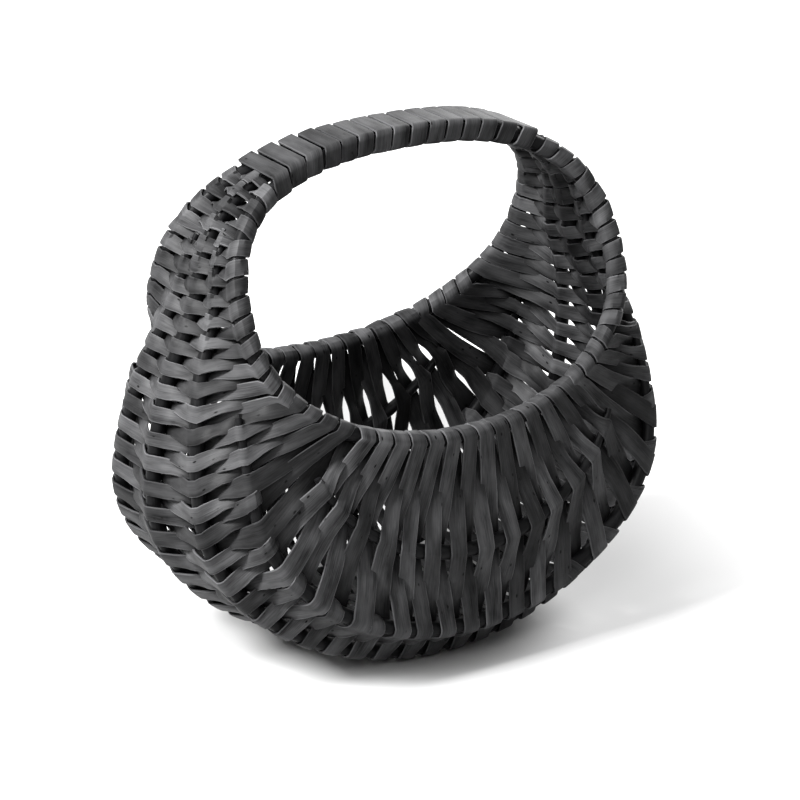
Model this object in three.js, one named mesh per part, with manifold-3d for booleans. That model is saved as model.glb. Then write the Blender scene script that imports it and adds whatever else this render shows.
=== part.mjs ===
// A small willow flower basket with a fixed handle. Two rod hoops lie side by side as the handle and
// splay apart below it as the two rims. Ribs are bent under the body from one end of the handle to the
// other, and flat split-willow skeins are woven across them from rim to rim, turning back round each rim.
// Millimetres, +Z up, X along the handle, the floor at Z = 0, the middle of the basket over the origin.

import * as THREE from 'three';
import { mergeVertices } from 'three/addons/utils/BufferGeometryUtils.js';
import Module from 'manifold-3d';

const degree = Math.PI / 180;

// Rim hoops: rod centre line, an oval in a plane that leans out below the handle. The exponents say how
// square an oval is: 2 is an ellipse, and more is squarer.
const hoopRodRadius = 3.3;
const hoopHalfLength = 93;
const hoopHalfHeight = 64;
const hoopLean = 24.6 * degree;
const hoopUpperExponent = 2.5;
const hoopLowerExponent = 2.1;
const handleHeight = 223;
const handleRodGap = 1.6;

// Body: the keel rib's outline, and how the side of the body curves from the rims to it
const keelOverhang = 24.6;
const keelTopDrop = 7;
const keelWidestHeight = 83;
const keelSagHeight = 0.5;
const keelUpperExponent = 2;
const keelLowerExponent = 1.9;
const keelBlend = 2.5;
const floorBlend = 0.8;
const sideBulge = 15;
const endExponent = 2.2;
const bottomExponent = 4.2;

// Ribs: rods, thinned to a tip where they are tucked in
const ribRodRadius = 3.3;
const ribTipRadius = 1.4;
const ribTaperLength = 60;
const keelEndGap = 2;
const ribAcrossShares = [-0.868, -0.569, -0.257, 0, 0.257, 0.569, 0.868];

// Weave: flat skeins, which lie closer in the end panels than under the body. Where the rims bend, every
// second turn is a short one, round a corner rib instead of the rim.
const weaveCentreDrop = 25.2;
const weaveStartAngle = 49 * degree;
const passesPerSkein = 4;
const skeinWidth = 6.4;
const skeinThickness = 0.9;
const clearance = 0.5;
const crossingGap = 1.6;
const rideTrials = 12;
const panelCrowdingShare = 0.22;
const shortTurnsPerCorner = 5;
const passesPerShortTurn = 4;
const firstShortTurnShare = 0.275;
const rimRibRowShare = 0.5;
// How far into the weave each rib begins, from either end of the basket
const ribStartShares = [0.315, 0.22, 0.07, 0, 0.07, 0.22, 0.315];
const ribTipLeadPasses = 0.3;
const cornerSpread = 22 * degree;
const skeinEndGap = 1.6;
const floorFlatDepth = 0.5;

// Handle binding: flat skeins wound round the three rods of the handle
const bindingEndGap = 7.5;
const bindingWidth = 7.4;
const bindingTurnGap = 0.5;
const bindingJoinShare = 0.58;

// Mesh resolution
const hoopSides = 8;
const hoopSteps = 56;
const ribSides = 6;
const ribSteps = 47;
const lineSteps = 240;
const bisectionSteps = 40;
const wrapSteps = 3;
const tangentStep = 1 * degree;

const rodFinish = { color: 0x2b2b2c, roughness: 0.6, metalness: 0 };
const skeinFinish = { color: 0x3a3a3b, roughness: 0.5, metalness: 0 };
const bindingFinish = { color: 0x404041, roughness: 0.5, metalness: 0 };

// Values that follow from the sizes above
const hoopProjectedHalfHeight = hoopHalfHeight * Math.cos(hoopLean);
const hoopCentreHeight = handleHeight - hoopProjectedHalfHeight;
const handleHalfSpread = hoopRodRadius + ribRodRadius + handleRodGap;
const keelHalfLength = hoopHalfLength + keelOverhang;
const keelTopHeight = handleHeight - keelTopDrop;
const weaveCentreHeight = hoopCentreHeight - weaveCentreDrop;
const strapOffset = clearance + skeinThickness / 2;
const ribFloorHeight = ribRodRadius + clearance + skeinThickness - floorFlatDepth;
const startStation = Math.PI - weaveStartAngle;
const endStation = 2 * Math.PI + weaveStartAngle;
const keelLine = ribAcrossShares.indexOf(0) + 1;
const rimRibLine = 1;
const cornerLine = 2;
const backHoopLine = ribAcrossShares.length + 1;
const acrossShares = [-1, ...ribAcrossShares, 1];

const wasm = await Module();
wasm.setup();

function signedPower(value, exponent) {
  return Math.sign(value) * Math.abs(value) ** exponent;
}

// A maximum of zero and value, rounded over the length softness
function smoothPositive(value, softness) {
  return (value + Math.sqrt(value * value + 4 * softness * softness)) / 2;
}

function insideHoop(x, z) {
  const rise = z - hoopCentreHeight;
  const exponent = rise > 0 ? hoopUpperExponent : hoopLowerExponent;
  const upward = Math.abs(rise / hoopProjectedHalfHeight) ** exponent;
  return Math.abs(x / hoopHalfLength) ** exponent + upward < 1;
}

function insideKeel(x, z) {
  const rise = z - keelWidestHeight;
  const halfHeight = rise > 0 ? keelTopHeight - keelWidestHeight : keelWidestHeight - keelSagHeight;
  const exponent = rise > 0 ? keelUpperExponent : keelLowerExponent;
  return Math.abs(x / keelHalfLength) ** exponent + Math.abs(rise / halfHeight) ** exponent < 1;
}

// Distance from the weave centre to an outline, found by halving
function reach(inside, station) {
  let near = 0;
  let far = keelHalfLength + handleHeight;
  for (let step = 0; step < bisectionSteps; step += 1) {
    const middle = (near + far) / 2;
    const isInside = inside(middle * Math.cos(station), weaveCentreHeight + middle * Math.sin(station));
    if (isInside) near = middle;
    else far = middle;
  }
  return near;
}

// Point of the body's mid surface: station turns about the weave centre, across runs from -1 at the front
// rim through 0 at the keel to 1 at the back rim
function bodyPoint(station, across) {
  const hoopReach = reach(insideHoop, station);
  const depth = smoothPositive(reach(insideKeel, station) - hoopReach, keelBlend);
  const exponent = endExponent + (bottomExponent - endExponent) * Math.max(0, -Math.sin(station));
  const angle = Math.abs(across) * Math.PI / 2;
  const sideways = Math.sin(angle) ** (2 / exponent);
  const outward = Math.max(0, Math.cos(angle)) ** (2 / exponent);
  const hoopRise = handleHeight - weaveCentreHeight - hoopReach * Math.sin(station);
  const hoopSpread = handleHalfSpread + hoopRise * Math.tan(hoopLean);
  const bulge = 4 * sideBulge * (depth / keelHalfLength) ** 2 * Math.abs(across) * (1 - Math.abs(across));
  const distance = hoopReach + depth * outward;
  const height = weaveCentreHeight + distance * Math.sin(station);
  return new THREE.Vector3(
    distance * Math.cos(station),
    Math.sign(across) * sideways * (hoopSpread + bulge),
    ribFloorHeight + smoothPositive(height - ribFloorHeight, floorBlend),
  );
}

// One line of the body, from the left end of the weave to its right end, measured along its length
class BodyLine {
  constructor(across) {
    this.points = [];
    this.lengths = [0];
    for (let step = 0; step <= lineSteps; step += 1) {
      const station = THREE.MathUtils.lerp(startStation, endStation, step / lineSteps);
      this.points.push(bodyPoint(station, across));
    }
    for (let step = 1; step <= lineSteps; step += 1) {
      const span = this.points[step].distanceTo(this.points[step - 1]);
      this.lengths.push(this.lengths[step - 1] + span);
    }
    this.length = this.lengths[lineSteps];
  }

  indexAt(share) {
    const target = THREE.MathUtils.clamp(share, 0, 1) * this.length;
    let step = 1;
    while (step < lineSteps && this.lengths[step] < target) step += 1;
    return step;
  }

  // The station at a share of the length, counted in steps from the left end
  stepAt(share) {
    const step = this.indexAt(share);
    const span = this.lengths[step] - this.lengths[step - 1];
    return step - 1 + (share * this.length - this.lengths[step - 1]) / span;
  }

  shareAtStep(place) {
    const step = Math.min(lineSteps, Math.floor(place) + 1);
    const part = place - step + 1;
    return THREE.MathUtils.lerp(this.lengths[step - 1], this.lengths[step], part) / this.length;
  }

  pointAt(share) {
    const step = this.indexAt(share);
    return this.points[step - 1].clone().lerp(this.points[step], this.stepAt(share) - step + 1);
  }

  tangentAt(share) {
    const step = this.indexAt(share);
    const before = this.points[Math.max(0, step - 2)];
    const after = this.points[Math.min(lineSteps, step + 1)];
    return after.clone().sub(before).normalize();
  }
}

const lines = acrossShares.map((across) => new BodyLine(across));

// The turns lie side by side on the rims, and each one joins two passes
const rimTurnCount = Math.floor(lines[0].length / (skeinWidth + crossingGap));
const turnsPerSide = rimTurnCount + 2 * shortTurnsPerCorner;
const passCount = 2 * turnsPerSide;
const firstShortTurn = 2 * Math.round(firstShortTurnShare * passCount / 2) - 1;

// Turns are numbered like the passes before them: the odd ones are at the front, the even ones at the back
function isShortTurn(turn) {
  const fromEnd = Math.min(turn, passCount - 2 - turn);
  const isBack = turn % 2 === 0;
  const order = fromEnd - firstShortTurn - (isBack ? 1 : 0);
  const isOnStep = order % passesPerShortTurn === 0;
  return order >= 0 && isOnStep && order < passesPerShortTurn * shortTurnsPerCorner;
}

// The line of the rod that a turn goes round
function turnLine(turn) {
  const inset = isShortTurn(turn) ? cornerLine : 0;
  return turn % 2 === 0 ? backHoopLine - inset : inset;
}

// Says whether a pass meets a line, across it or in a turn round it
function meets(pass, line) {
  const ends = [turnLine(pass - 1), turnLine(pass)];
  return line >= Math.min(...ends) && line <= Math.max(...ends);
}

// The passes that meet each line, and for each pass how many of them come before it
const meetingPasses = acrossShares.map((_, line) => (
  Array.from({ length: passCount }, (_each, pass) => pass).filter((pass) => meets(pass, line))
));
const ranks = meetingPasses.map((meeting) => (
  Array.from({ length: passCount }, (_each, pass) => meeting.filter((other) => other < pass).length)
));

// The first pass that each rib carries: an odd one in front of the keel and an even one behind it
const ribFirstPasses = ribStartShares.map((share, rib) => {
  const odd = rib + 1 < keelLine ? 1 : 0;
  return odd + 2 * Math.round((share * passCount - odd) / 2);
});

// The place in a line's row of passes, as a share of the line's length from the left end
function shareAtRank(line, rank) {
  const share = (rank + 0.5) / meetingPasses[line].length;
  const isInner = Math.min(line, backHoopLine - line) >= cornerLine;
  const crowding = isInner ? panelCrowdingShare : 0;
  return share - crowding * Math.sin(2 * Math.PI * share) / (2 * Math.PI);
}

// Where a pass crosses a line. A moment between two passes lies between their places. A rim rib is
// crossed on a straight row from the rim to the corner rib.
function shareOn(line, moment) {
  const pass = Math.floor(moment);
  const isRimRib = Math.min(line, backHoopLine - line) === rimRibLine;
  if (!isRimRib) return shareAtRank(line, ranks[line][pass] + moment - pass);
  const ends = line < keelLine ? [0, cornerLine] : [backHoopLine, backHoopLine - cornerLine];
  const steps = ends.map((end) => lines[end].stepAt(shareOn(end, moment)));
  return lines[line].shareAtStep(THREE.MathUtils.lerp(...steps, rimRibRowShare));
}

// Distance from a pass to the nearer of its neighbours on a line
function pitchOn(line, pass) {
  const rank = ranks[line][pass];
  const beside = [meetingPasses[line][rank - 1], meetingPasses[line][rank + 1]];
  const shares = beside.filter((other) => other !== undefined).map((other) => shareOn(line, other));
  const gaps = shares.map((share) => Math.abs(share - shareOn(line, pass)));
  return lines[line].length * Math.min(...gaps);
}

function pointOn(line, pass) {
  return lines[line].pointAt(shareOn(line, pass));
}

function tangentOn(line, pass) {
  return lines[line].tangentAt(shareOn(line, pass));
}

const startShares = [0, ...ribFirstPasses.map((pass, rib) => (
  pass === 0 ? 0 : shareOn(rib + 1, pass) - ribTipLeadPasses / passCount
)), 0];

function buildGeometry(vertices, faces) {
  const geometry = new THREE.BufferGeometry();
  const numbers = vertices.flatMap((vertex) => vertex.toArray());
  geometry.setAttribute('position', new THREE.Float32BufferAttribute(numbers, 3));
  geometry.setIndex(faces.flat());
  return geometry;
}

// Joins rings of points into one closed skin, with flat ends or closed on itself
function skinRings(rings, closed) {
  const count = rings[0].length;
  const faces = [];
  const joins = closed ? rings.length : rings.length - 1;
  for (let ring = 0; ring < joins; ring += 1) {
    const next = (ring + 1) % rings.length;
    for (let side = 0; side < count; side += 1) {
      const turn = (side + 1) % count;
      const [here, beside] = [ring * count + side, ring * count + turn];
      const [ahead, opposite] = [next * count + side, next * count + turn];
      faces.push([here, beside, opposite], [here, opposite, ahead]);
    }
  }
  if (!closed) {
    const last = (rings.length - 1) * count;
    for (let side = 1; side < count - 1; side += 1) {
      faces.push([0, side + 1, side], [last, last + side, last + side + 1]);
    }
  }
  return buildGeometry(rings.flat(), faces);
}

// A round rod along points, its sections square to it
function rodGeometry(points, radii, sides, closed) {
  const rings = points.map((point, index) => {
    const last = points.length - 1;
    const before = closed ? points.at(index - 1) : points[Math.max(0, index - 1)];
    const after = closed ? points[(index + 1) % points.length] : points[Math.min(last, index + 1)];
    const along = after.clone().sub(before).normalize();
    const outward = point.clone().sub(new THREE.Vector3(0, point.y, weaveCentreHeight));
    outward.addScaledVector(along, -outward.dot(along)).normalize();
    const sideways = along.clone().cross(outward);
    return Array.from({ length: sides }, (_, side) => {
      const angle = 2 * Math.PI * (side + 0.5) / sides;
      return point.clone()
        .addScaledVector(outward, radii[index] * Math.cos(angle))
        .addScaledVector(sideways, radii[index] * Math.sin(angle));
    });
  });
  return skinRings(rings, closed);
}

// Raises a stop whose underside would reach deeper below the floor than the flat that is cut there
function raiseToFloor(stop) {
  const edge = Math.abs(stop.across.z) * stop.width / 2;
  const lowest = stop.point.z - edge - skeinThickness / 2;
  const lift = Math.max(0, -floorFlatDepth - lowest);
  return { ...stop, point: stop.point.clone().setZ(stop.point.z + lift) };
}

// A flat skein through stops, each with its place, its width direction and its width
function skeinGeometry(route) {
  const stops = route.map(raiseToFloor);
  const rings = stops.map((stop, index) => {
    const before = stops[Math.max(0, index - 1)].point;
    const after = stops[Math.min(stops.length - 1, index + 1)].point;
    const arrive = stop.point.clone().sub(before).normalize();
    const leave = after.clone().sub(stop.point).normalize();
    const along = arrive.add(leave).normalize();
    const face = along.cross(stop.across).normalize();
    const halfThickness = skeinThickness / 2;
    return [[1, 1], [-1, 1], [-1, -1], [1, -1]].map(([sideways, up]) => stop.point.clone()
      .addScaledVector(stop.across, sideways * stop.width / 2)
      .addScaledVector(face, up * halfThickness));
  });
  return skinRings(rings, false);
}

// Cuts away what reaches below the floor, which leaves the flat that the basket stands on
function cutAtFloor(geometry) {
  geometry.computeBoundingBox();
  const { min, max } = geometry.boundingBox;
  if (min.z >= 0) return geometry;
  const floor = new THREE.BoxGeometry(2 * (max.x - min.x), 2 * (max.y - min.y), 2 * keelHalfLength);
  floor.translate((min.x + max.x) / 2, (min.y + max.y) / 2, -keelHalfLength);
  const solid = toManifold(geometry).subtract(toManifold(floor));
  const mesh = solid.getMesh();
  const result = new THREE.BufferGeometry();
  result.setAttribute('position', new THREE.BufferAttribute(mesh.vertProperties, 3));
  result.setIndex(new THREE.BufferAttribute(mesh.triVerts, 1));
  return result;
}

function toManifold(source) {
  const bare = source.clone();
  bare.deleteAttribute('normal');
  bare.deleteAttribute('uv');
  const merged = mergeVertices(bare);
  return new wasm.Manifold(new wasm.Mesh({
    numProp: 3,
    vertProperties: merged.getAttribute('position').array,
    triVerts: new Uint32Array(merged.getIndex().array),
  }));
}

// Hoop centre line by its own angle, zero at the right end of the basket
function hoopPoint(angle, side) {
  const exponent = Math.sin(angle) > 0 ? hoopUpperExponent : hoopLowerExponent;
  const rise = hoopHalfHeight * signedPower(Math.sin(angle), 2 / exponent);
  const drop = hoopHalfHeight - rise;
  return new THREE.Vector3(
    hoopHalfLength * signedPower(Math.cos(angle), 2 / exponent),
    side * (handleHalfSpread + drop * Math.sin(hoopLean)),
    handleHeight - drop * Math.cos(hoopLean),
  );
}

function hoopGeometry(side) {
  const points = Array.from({ length: hoopSteps }, (_, step) => {
    const angle = -2 * Math.PI * step / hoopSteps;
    return hoopPoint(angle, side);
  });
  return rodGeometry(points, points.map(() => hoopRodRadius), hoopSides, true);
}

function ribRadiusAt(line, share) {
  if (line === keelLine) return ribRodRadius;
  const fromTip = (Math.min(share, 1 - share) - startShares[line]) * lines[line].length;
  const part = THREE.MathUtils.clamp(fromTip / ribTaperLength, 0, 1);
  return THREE.MathUtils.lerp(ribTipRadius, ribRodRadius, part);
}

function ribGeometry(line) {
  const points = [];
  const radii = [];
  if (line === keelLine) addKeelEnd(points, radii, -1);
  const first = startShares[line];
  const steps = Math.round((1 - 2 * first) * ribSteps);
  for (let step = 0; step <= steps; step += 1) {
    const share = THREE.MathUtils.lerp(first, 1 - first, step / steps);
    points.push(lines[line].pointAt(share));
    radii.push(ribRadiusAt(line, share));
  }
  if (line === keelLine) addKeelEnd(points, radii, 1);
  return rodGeometry(points, radii, ribSides, false);
}

// The keel's ends run on between the hoop rods, inside the handle, until they nearly meet
function addKeelEnd(points, radii, side) {
  const meeting = Math.PI / 2;
  const edge = side < 0 ? startStation : endStation - 2 * Math.PI;
  const lastX = keelEndGap / 2;
  const stretch = [];
  const steps = Math.round(hoopSteps * weaveStartAngle / Math.PI / 2);
  for (let step = 1; step <= steps; step += 1) {
    const station = THREE.MathUtils.lerp(edge, meeting, step / steps);
    const point = bodyPoint(station, 0);
    if (Math.abs(point.x) < lastX) point.x = side * lastX;
    stretch.push(point);
  }
  if (side < 0) points.push(...stretch.reverse());
  else points.push(...stretch);
  stretch.forEach(() => radii.push(ribRodRadius));
}

// The ribs that a pass crosses between its turns: those that have begun by then and not yet ended
function crossedLines(pass) {
  const fromEnd = Math.min(pass, passCount - 1 - pass);
  const ends = [turnLine(pass - 1), turnLine(pass)];
  return ribFirstPasses.flatMap((first, rib) => {
    const isBetween = rib + 1 > Math.min(...ends) && rib + 1 < Math.max(...ends);
    return isBetween && fromEnd >= first ? [rib + 1] : [];
  });
}

function outsideSign(line, pass) {
  return (line + pass) % 2 === 0 ? 1 : -1;
}

// Direction out of the basket where a pass crosses a line, square to the line and to the row
function outwardOn(pass, line, fromLine, toLine) {
  const row = pointOn(toLine, pass).sub(pointOn(fromLine, pass));
  const outward = tangentOn(line, pass).cross(row).normalize();
  const radial = pointOn(line, pass).sub(new THREE.Vector3(0, 0, weaveCentreHeight));
  return outward.dot(radial) < 0 ? outward.negate() : outward;
}

// Half the room that a rod takes with a flat skein on it, for a rib at the thicker edge of the skein
function roomOn(line, pass) {
  if (line === 0 || line === backHoopLine) return hoopRodRadius + strapOffset;
  const inward = Math.sign(passCount / 2 - pass) * skeinWidth / 2 / lines[line].length;
  return ribRadiusAt(line, shareOn(line, pass) + inward) + strapOffset;
}

// Where a skein passes from one face of the body to the other, between two rods
function middlePoint(pass, fromLine, toLine) {
  const room = roomOn(fromLine, pass);
  const part = room / (room + roomOn(toLine, pass));
  return pointOn(fromLine, pass).lerp(pointOn(toLine, pass), part);
}

function middleStop(pass, fromLine, toLine) {
  const across = tangentOn(fromLine, pass).add(tangentOn(toLine, pass)).normalize();
  const pitch = (pitchOn(fromLine, pass) + pitchOn(toLine, pass)) / 2;
  const width = Math.min(skeinWidth, pitch - crossingGap);
  return { point: middlePoint(pass, fromLine, toLine), across, width };
}

// A flat skein over or under a rib, lifted until its slopes to the next stops clear the rib. Outside the
// ribs at the body's corners it has two stops, which round it over the corner.
function crossingStops(pass, line, before, after) {
  const place = pointOn(line, pass);
  const side = outsideSign(line, pass);
  const outward = outwardOn(pass, line, before, after).multiplyScalar(side);
  const row = pointOn(after, pass).sub(pointOn(before, pass)).normalize();
  const isCorner = Math.min(line, backHoopLine - line) === cornerLine;
  const spread = isCorner && side > 0 ? cornerSpread : 0;
  const nearBefore = middlePoint(pass, before, line);
  const nearAfter = middlePoint(pass, line, after);
  const need = roomOn(line, pass);
  const topAt = (lift, turn) => place.clone()
    .addScaledVector(outward, lift * Math.cos(turn))
    .addScaledVector(row, lift * Math.sin(turn));
  const distance = (from, to) => {
    const nearest = new THREE.Line3(from, to).closestPointToPoint(place, true, new THREE.Vector3());
    return nearest.distanceTo(place);
  };
  let lift = need / Math.cos(spread);
  for (let trial = 0; trial < rideTrials; trial += 1) {
    const roomBefore = distance(topAt(lift, -spread), nearBefore);
    const roomAfter = distance(topAt(lift, spread), nearAfter);
    lift *= Math.max(1, need / Math.min(roomBefore, roomAfter));
  }
  const turns = spread > 0 ? [-spread, spread] : [0];
  const across = tangentOn(line, pass);
  return turns.map((turn) => ({ point: topAt(lift, turn), across, width: skeinWidth, line }));
}

function nearestRib(pass, line) {
  const crossed = crossedLines(pass);
  return line < keelLine ? crossed[0] : crossed.at(-1);
}

// The face of the body that a pass lies on at the rod that it turns round, opposite to its side of the
// nearest rib
function turnSide(pass, line) {
  return -outsideSign(nearestRib(pass, line), pass);
}

// A leg is narrowed where the next turn's leg lies beside it on the same face
function legWidth(pass, step, line) {
  const neighbour = meetingPasses[line][ranks[line][pass] + step];
  const isRim = line === 0 || line === backHoopLine;
  if (neighbour === undefined || !isRim) return skeinWidth;
  const isBeside = turnSide(pass, line) === turnSide(neighbour, line);
  return isBeside ? pitchOn(line, pass) - crossingGap : skeinWidth;
}

// The turn after a pass, from one face of the body round a rim rod or a corner rib to the other
function turnStops(pass) {
  const line = turnLine(pass);
  const nearest = nearestRib(pass, line);
  const startSide = turnSide(pass, line);
  const widths = [legWidth(pass, -1, line), legWidth(pass + 1, 1, line)];
  const stepAngle = Math.PI / wrapSteps;
  const radius = roomOn(line, pass) / Math.cos(stepAngle / 2);
  const stops = [];
  for (let step = 0; step <= wrapSteps; step += 1) {
    const moment = pass + step / wrapSteps;
    const place = pointOn(line, moment);
    const along = tangentOn(line, moment);
    const outward = outwardOn(moment, line, line, nearest);
    const away = place.clone().sub(pointOn(nearest, moment));
    away.addScaledVector(along, -away.dot(along)).normalize();
    const angle = step * stepAngle;
    place.addScaledVector(outward, radius * startSide * Math.cos(angle));
    place.addScaledVector(away, radius * Math.sin(angle));
    stops.push({ point: place, across: along, width: THREE.MathUtils.lerp(...widths, step / wrapSteps) });
  }
  return stops;
}

// One pass from rim to rim without its turns
function passStops(pass) {
  const visited = [...crossedLines(pass), turnLine(pass - 1), turnLine(pass)].sort((a, b) => a - b);
  if (turnLine(pass) < turnLine(pass - 1)) visited.reverse();
  const stops = [];
  for (let index = 1; index < visited.length; index += 1) {
    stops.push(middleStop(pass, visited[index - 1], visited[index]));
    if (index < visited.length - 1) {
      stops.push(...crossingStops(pass, visited[index], visited[index - 1], visited[index + 1]));
    }
  }
  return stops;
}

// All passes and turns in one run, cut at the keel every few passes where the skein lies inside
function weaveSkeins() {
  const skeins = [];
  let current = [];
  for (let pass = 0; pass < passCount; pass += 1) {
    const isLastOfSkein = pass % passesPerSkein === passesPerSkein - 1;
    const isJoin = isLastOfSkein && pass < passCount - passesPerSkein;
    for (const stop of passStops(pass)) {
      current.push(stop);
      if (isJoin && stop.line === keelLine) {
        skeins.push(current);
        current = [stop];
      }
    }
    if (pass < passCount - 1) current.push(...turnStops(pass));
  }
  skeins.push(current);
  return skeins.map(trimEnds);
}

// Draws both ends of a skein in, so that it stays clear of the next one
function trimEnds(stops) {
  const trimmed = stops.slice();
  const pairs = [[0, 1], [stops.length - 1, stops.length - 2]];
  for (const [end, next] of pairs) {
    const inward = stops[next].point.clone().sub(stops[end].point).setLength(skeinEndGap / 2);
    trimmed[end] = { ...stops[end], point: stops[end].point.clone().add(inward) };
  }
  return trimmed;
}

// Handle binding: a flat helix round the three rods, its section a box with cut corners. It ends short
// of the first pass of the weave.
function bindingStops(fromShare, toShare) {
  const weaveStart = reach(insideHoop, weaveStartAngle) * Math.cos(weaveStartAngle);
  const halfLength = weaveStart - bindingEndGap;
  const turns = Math.floor(2 * halfLength / (bindingWidth + bindingTurnGap));
  const halfHeight = Math.max(hoopRodRadius, ribRodRadius) + strapOffset + keelBlend / 2;
  const corner = hoopRodRadius / 2;
  const section = (halfWidth) => [
    [-halfWidth, -halfHeight + corner], [-halfWidth, halfHeight - corner],
    [-halfWidth + corner, halfHeight], [halfWidth - corner, halfHeight],
    [halfWidth, halfHeight - corner], [halfWidth, -halfHeight + corner],
    [halfWidth - corner, -halfHeight], [-halfWidth + corner, -halfHeight],
  ];
  const perTurn = section(0).length;
  const first = Math.round(fromShare * turns * perTurn);
  const last = Math.round(toShare * turns * perTurn);
  const stops = [];
  for (let step = first; step <= last; step += 1) {
    const x = THREE.MathUtils.lerp(-halfLength, halfLength, step / (turns * perTurn));
    const angle = Math.acos(signedPower(x / hoopHalfLength, hoopUpperExponent / 2));
    const rod = hoopPoint(angle, 1);
    const ahead = hoopPoint(angle - tangentStep, 1);
    const along = new THREE.Vector3(ahead.x - rod.x, 0, ahead.z - rod.z).normalize();
    const up = new THREE.Vector3(-along.z, 0, along.x);
    const [sideways, rise] = section(rod.y + hoopRodRadius + strapOffset)[step % perTurn];
    const point = new THREE.Vector3(rod.x, sideways, rod.z).addScaledVector(up, rise);
    stops.push({ point, across: along, width: bindingWidth });
  }
  return stops;
}

function addPiece(group, name, geometry, finish) {
  const mesh = new THREE.Mesh(geometry, new THREE.MeshStandardMaterial(finish));
  mesh.name = name;
  group.add(mesh);
}

const ribNames = [
  'front_rim_rib',
  'front_corner_rib',
  'front_floor_rib',
  'keel_rib',
  'back_floor_rib',
  'back_corner_rib',
  'back_rim_rib',
];

const basket = new THREE.Group();
addPiece(basket, 'front_hoop', hoopGeometry(-1), rodFinish);
addPiece(basket, 'back_hoop', hoopGeometry(1), rodFinish);
ribNames.forEach((name, rib) => {
  addPiece(basket, name, ribGeometry(rib + 1), rodFinish);
});
weaveSkeins().forEach((stops, index) => {
  const name = `skein_${String(index + 1).padStart(2, '0')}`;
  addPiece(basket, name, cutAtFloor(skeinGeometry(stops)), skeinFinish);
});
const leftBinding = bindingStops(0, bindingJoinShare);
const rightBinding = trimEnds(bindingStops(bindingJoinShare, 1));
addPiece(basket, 'handle_binding_left', skeinGeometry(leftBinding), bindingFinish);
addPiece(basket, 'handle_binding_right', skeinGeometry(rightBinding), bindingFinish);

export default basket;
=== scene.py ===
"""The looks of a small black-stained willow flower basket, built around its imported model."""

from __future__ import annotations

import logging
import math
from bisect import bisect_left
from dataclasses import dataclass
from enum import Enum
from typing import TypeVar

import bpy
import numpy as np
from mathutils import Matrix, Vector


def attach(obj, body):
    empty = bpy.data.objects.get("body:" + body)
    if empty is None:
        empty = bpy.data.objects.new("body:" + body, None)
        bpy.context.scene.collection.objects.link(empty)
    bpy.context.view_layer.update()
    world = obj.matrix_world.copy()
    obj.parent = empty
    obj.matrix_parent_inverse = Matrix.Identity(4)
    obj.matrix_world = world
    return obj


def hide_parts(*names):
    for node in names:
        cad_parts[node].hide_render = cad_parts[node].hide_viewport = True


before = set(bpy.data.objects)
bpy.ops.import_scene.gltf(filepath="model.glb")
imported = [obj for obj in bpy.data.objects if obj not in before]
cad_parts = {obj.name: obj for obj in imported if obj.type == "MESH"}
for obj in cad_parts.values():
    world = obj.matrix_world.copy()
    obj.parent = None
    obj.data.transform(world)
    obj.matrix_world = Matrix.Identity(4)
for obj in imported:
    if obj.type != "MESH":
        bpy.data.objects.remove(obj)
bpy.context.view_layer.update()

LOG = logging.getLogger("willow_basket")
MILLIMETRE = 0.001
BODY = "root"
UV_MAP = "length_and_girth"

# Edges that bend more than this are drawn sharp: those of a strip's cut ends and its thin sides
SHARP_FROM = math.radians(28)

Mixed = TypeVar("Mixed", float, np.ndarray)


class Face(Enum):
    """The face of the body that a skein lies on."""

    OUTSIDE = 1
    INSIDE = -1


class Slot(Enum):
    """The record's material slots."""

    ROD = "rod"
    SKEIN = "skein"


def unit(vectors: np.ndarray) -> np.ndarray:
    """Scale vectors, which lie along the last axis, to length one."""
    return vectors / np.linalg.norm(vectors, axis=-1, keepdims=True)


def mix(start: Mixed, end: Mixed, part: float) -> Mixed:
    """Find what lies between a start and an end, part of the way along."""
    return start * (1 - part) + end * part


def signed_power(value: np.ndarray, exponent: float) -> np.ndarray:
    """Raise a size to a power and keep its sign."""
    return np.sign(value) * np.abs(value) ** exponent


def smooth_positive(value: np.ndarray, softness: float) -> np.ndarray:
    """Take the larger of zero and value, rounded over the length softness."""
    return (value + np.sqrt(value * value + 4 * softness * softness)) / 2


def run_lengths(places: np.ndarray) -> np.ndarray:
    """Measure how far along a run each of its places lies."""
    return np.concatenate([[0.0], np.cumsum(np.linalg.norm(np.diff(places, axis=0), axis=1))])


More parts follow.
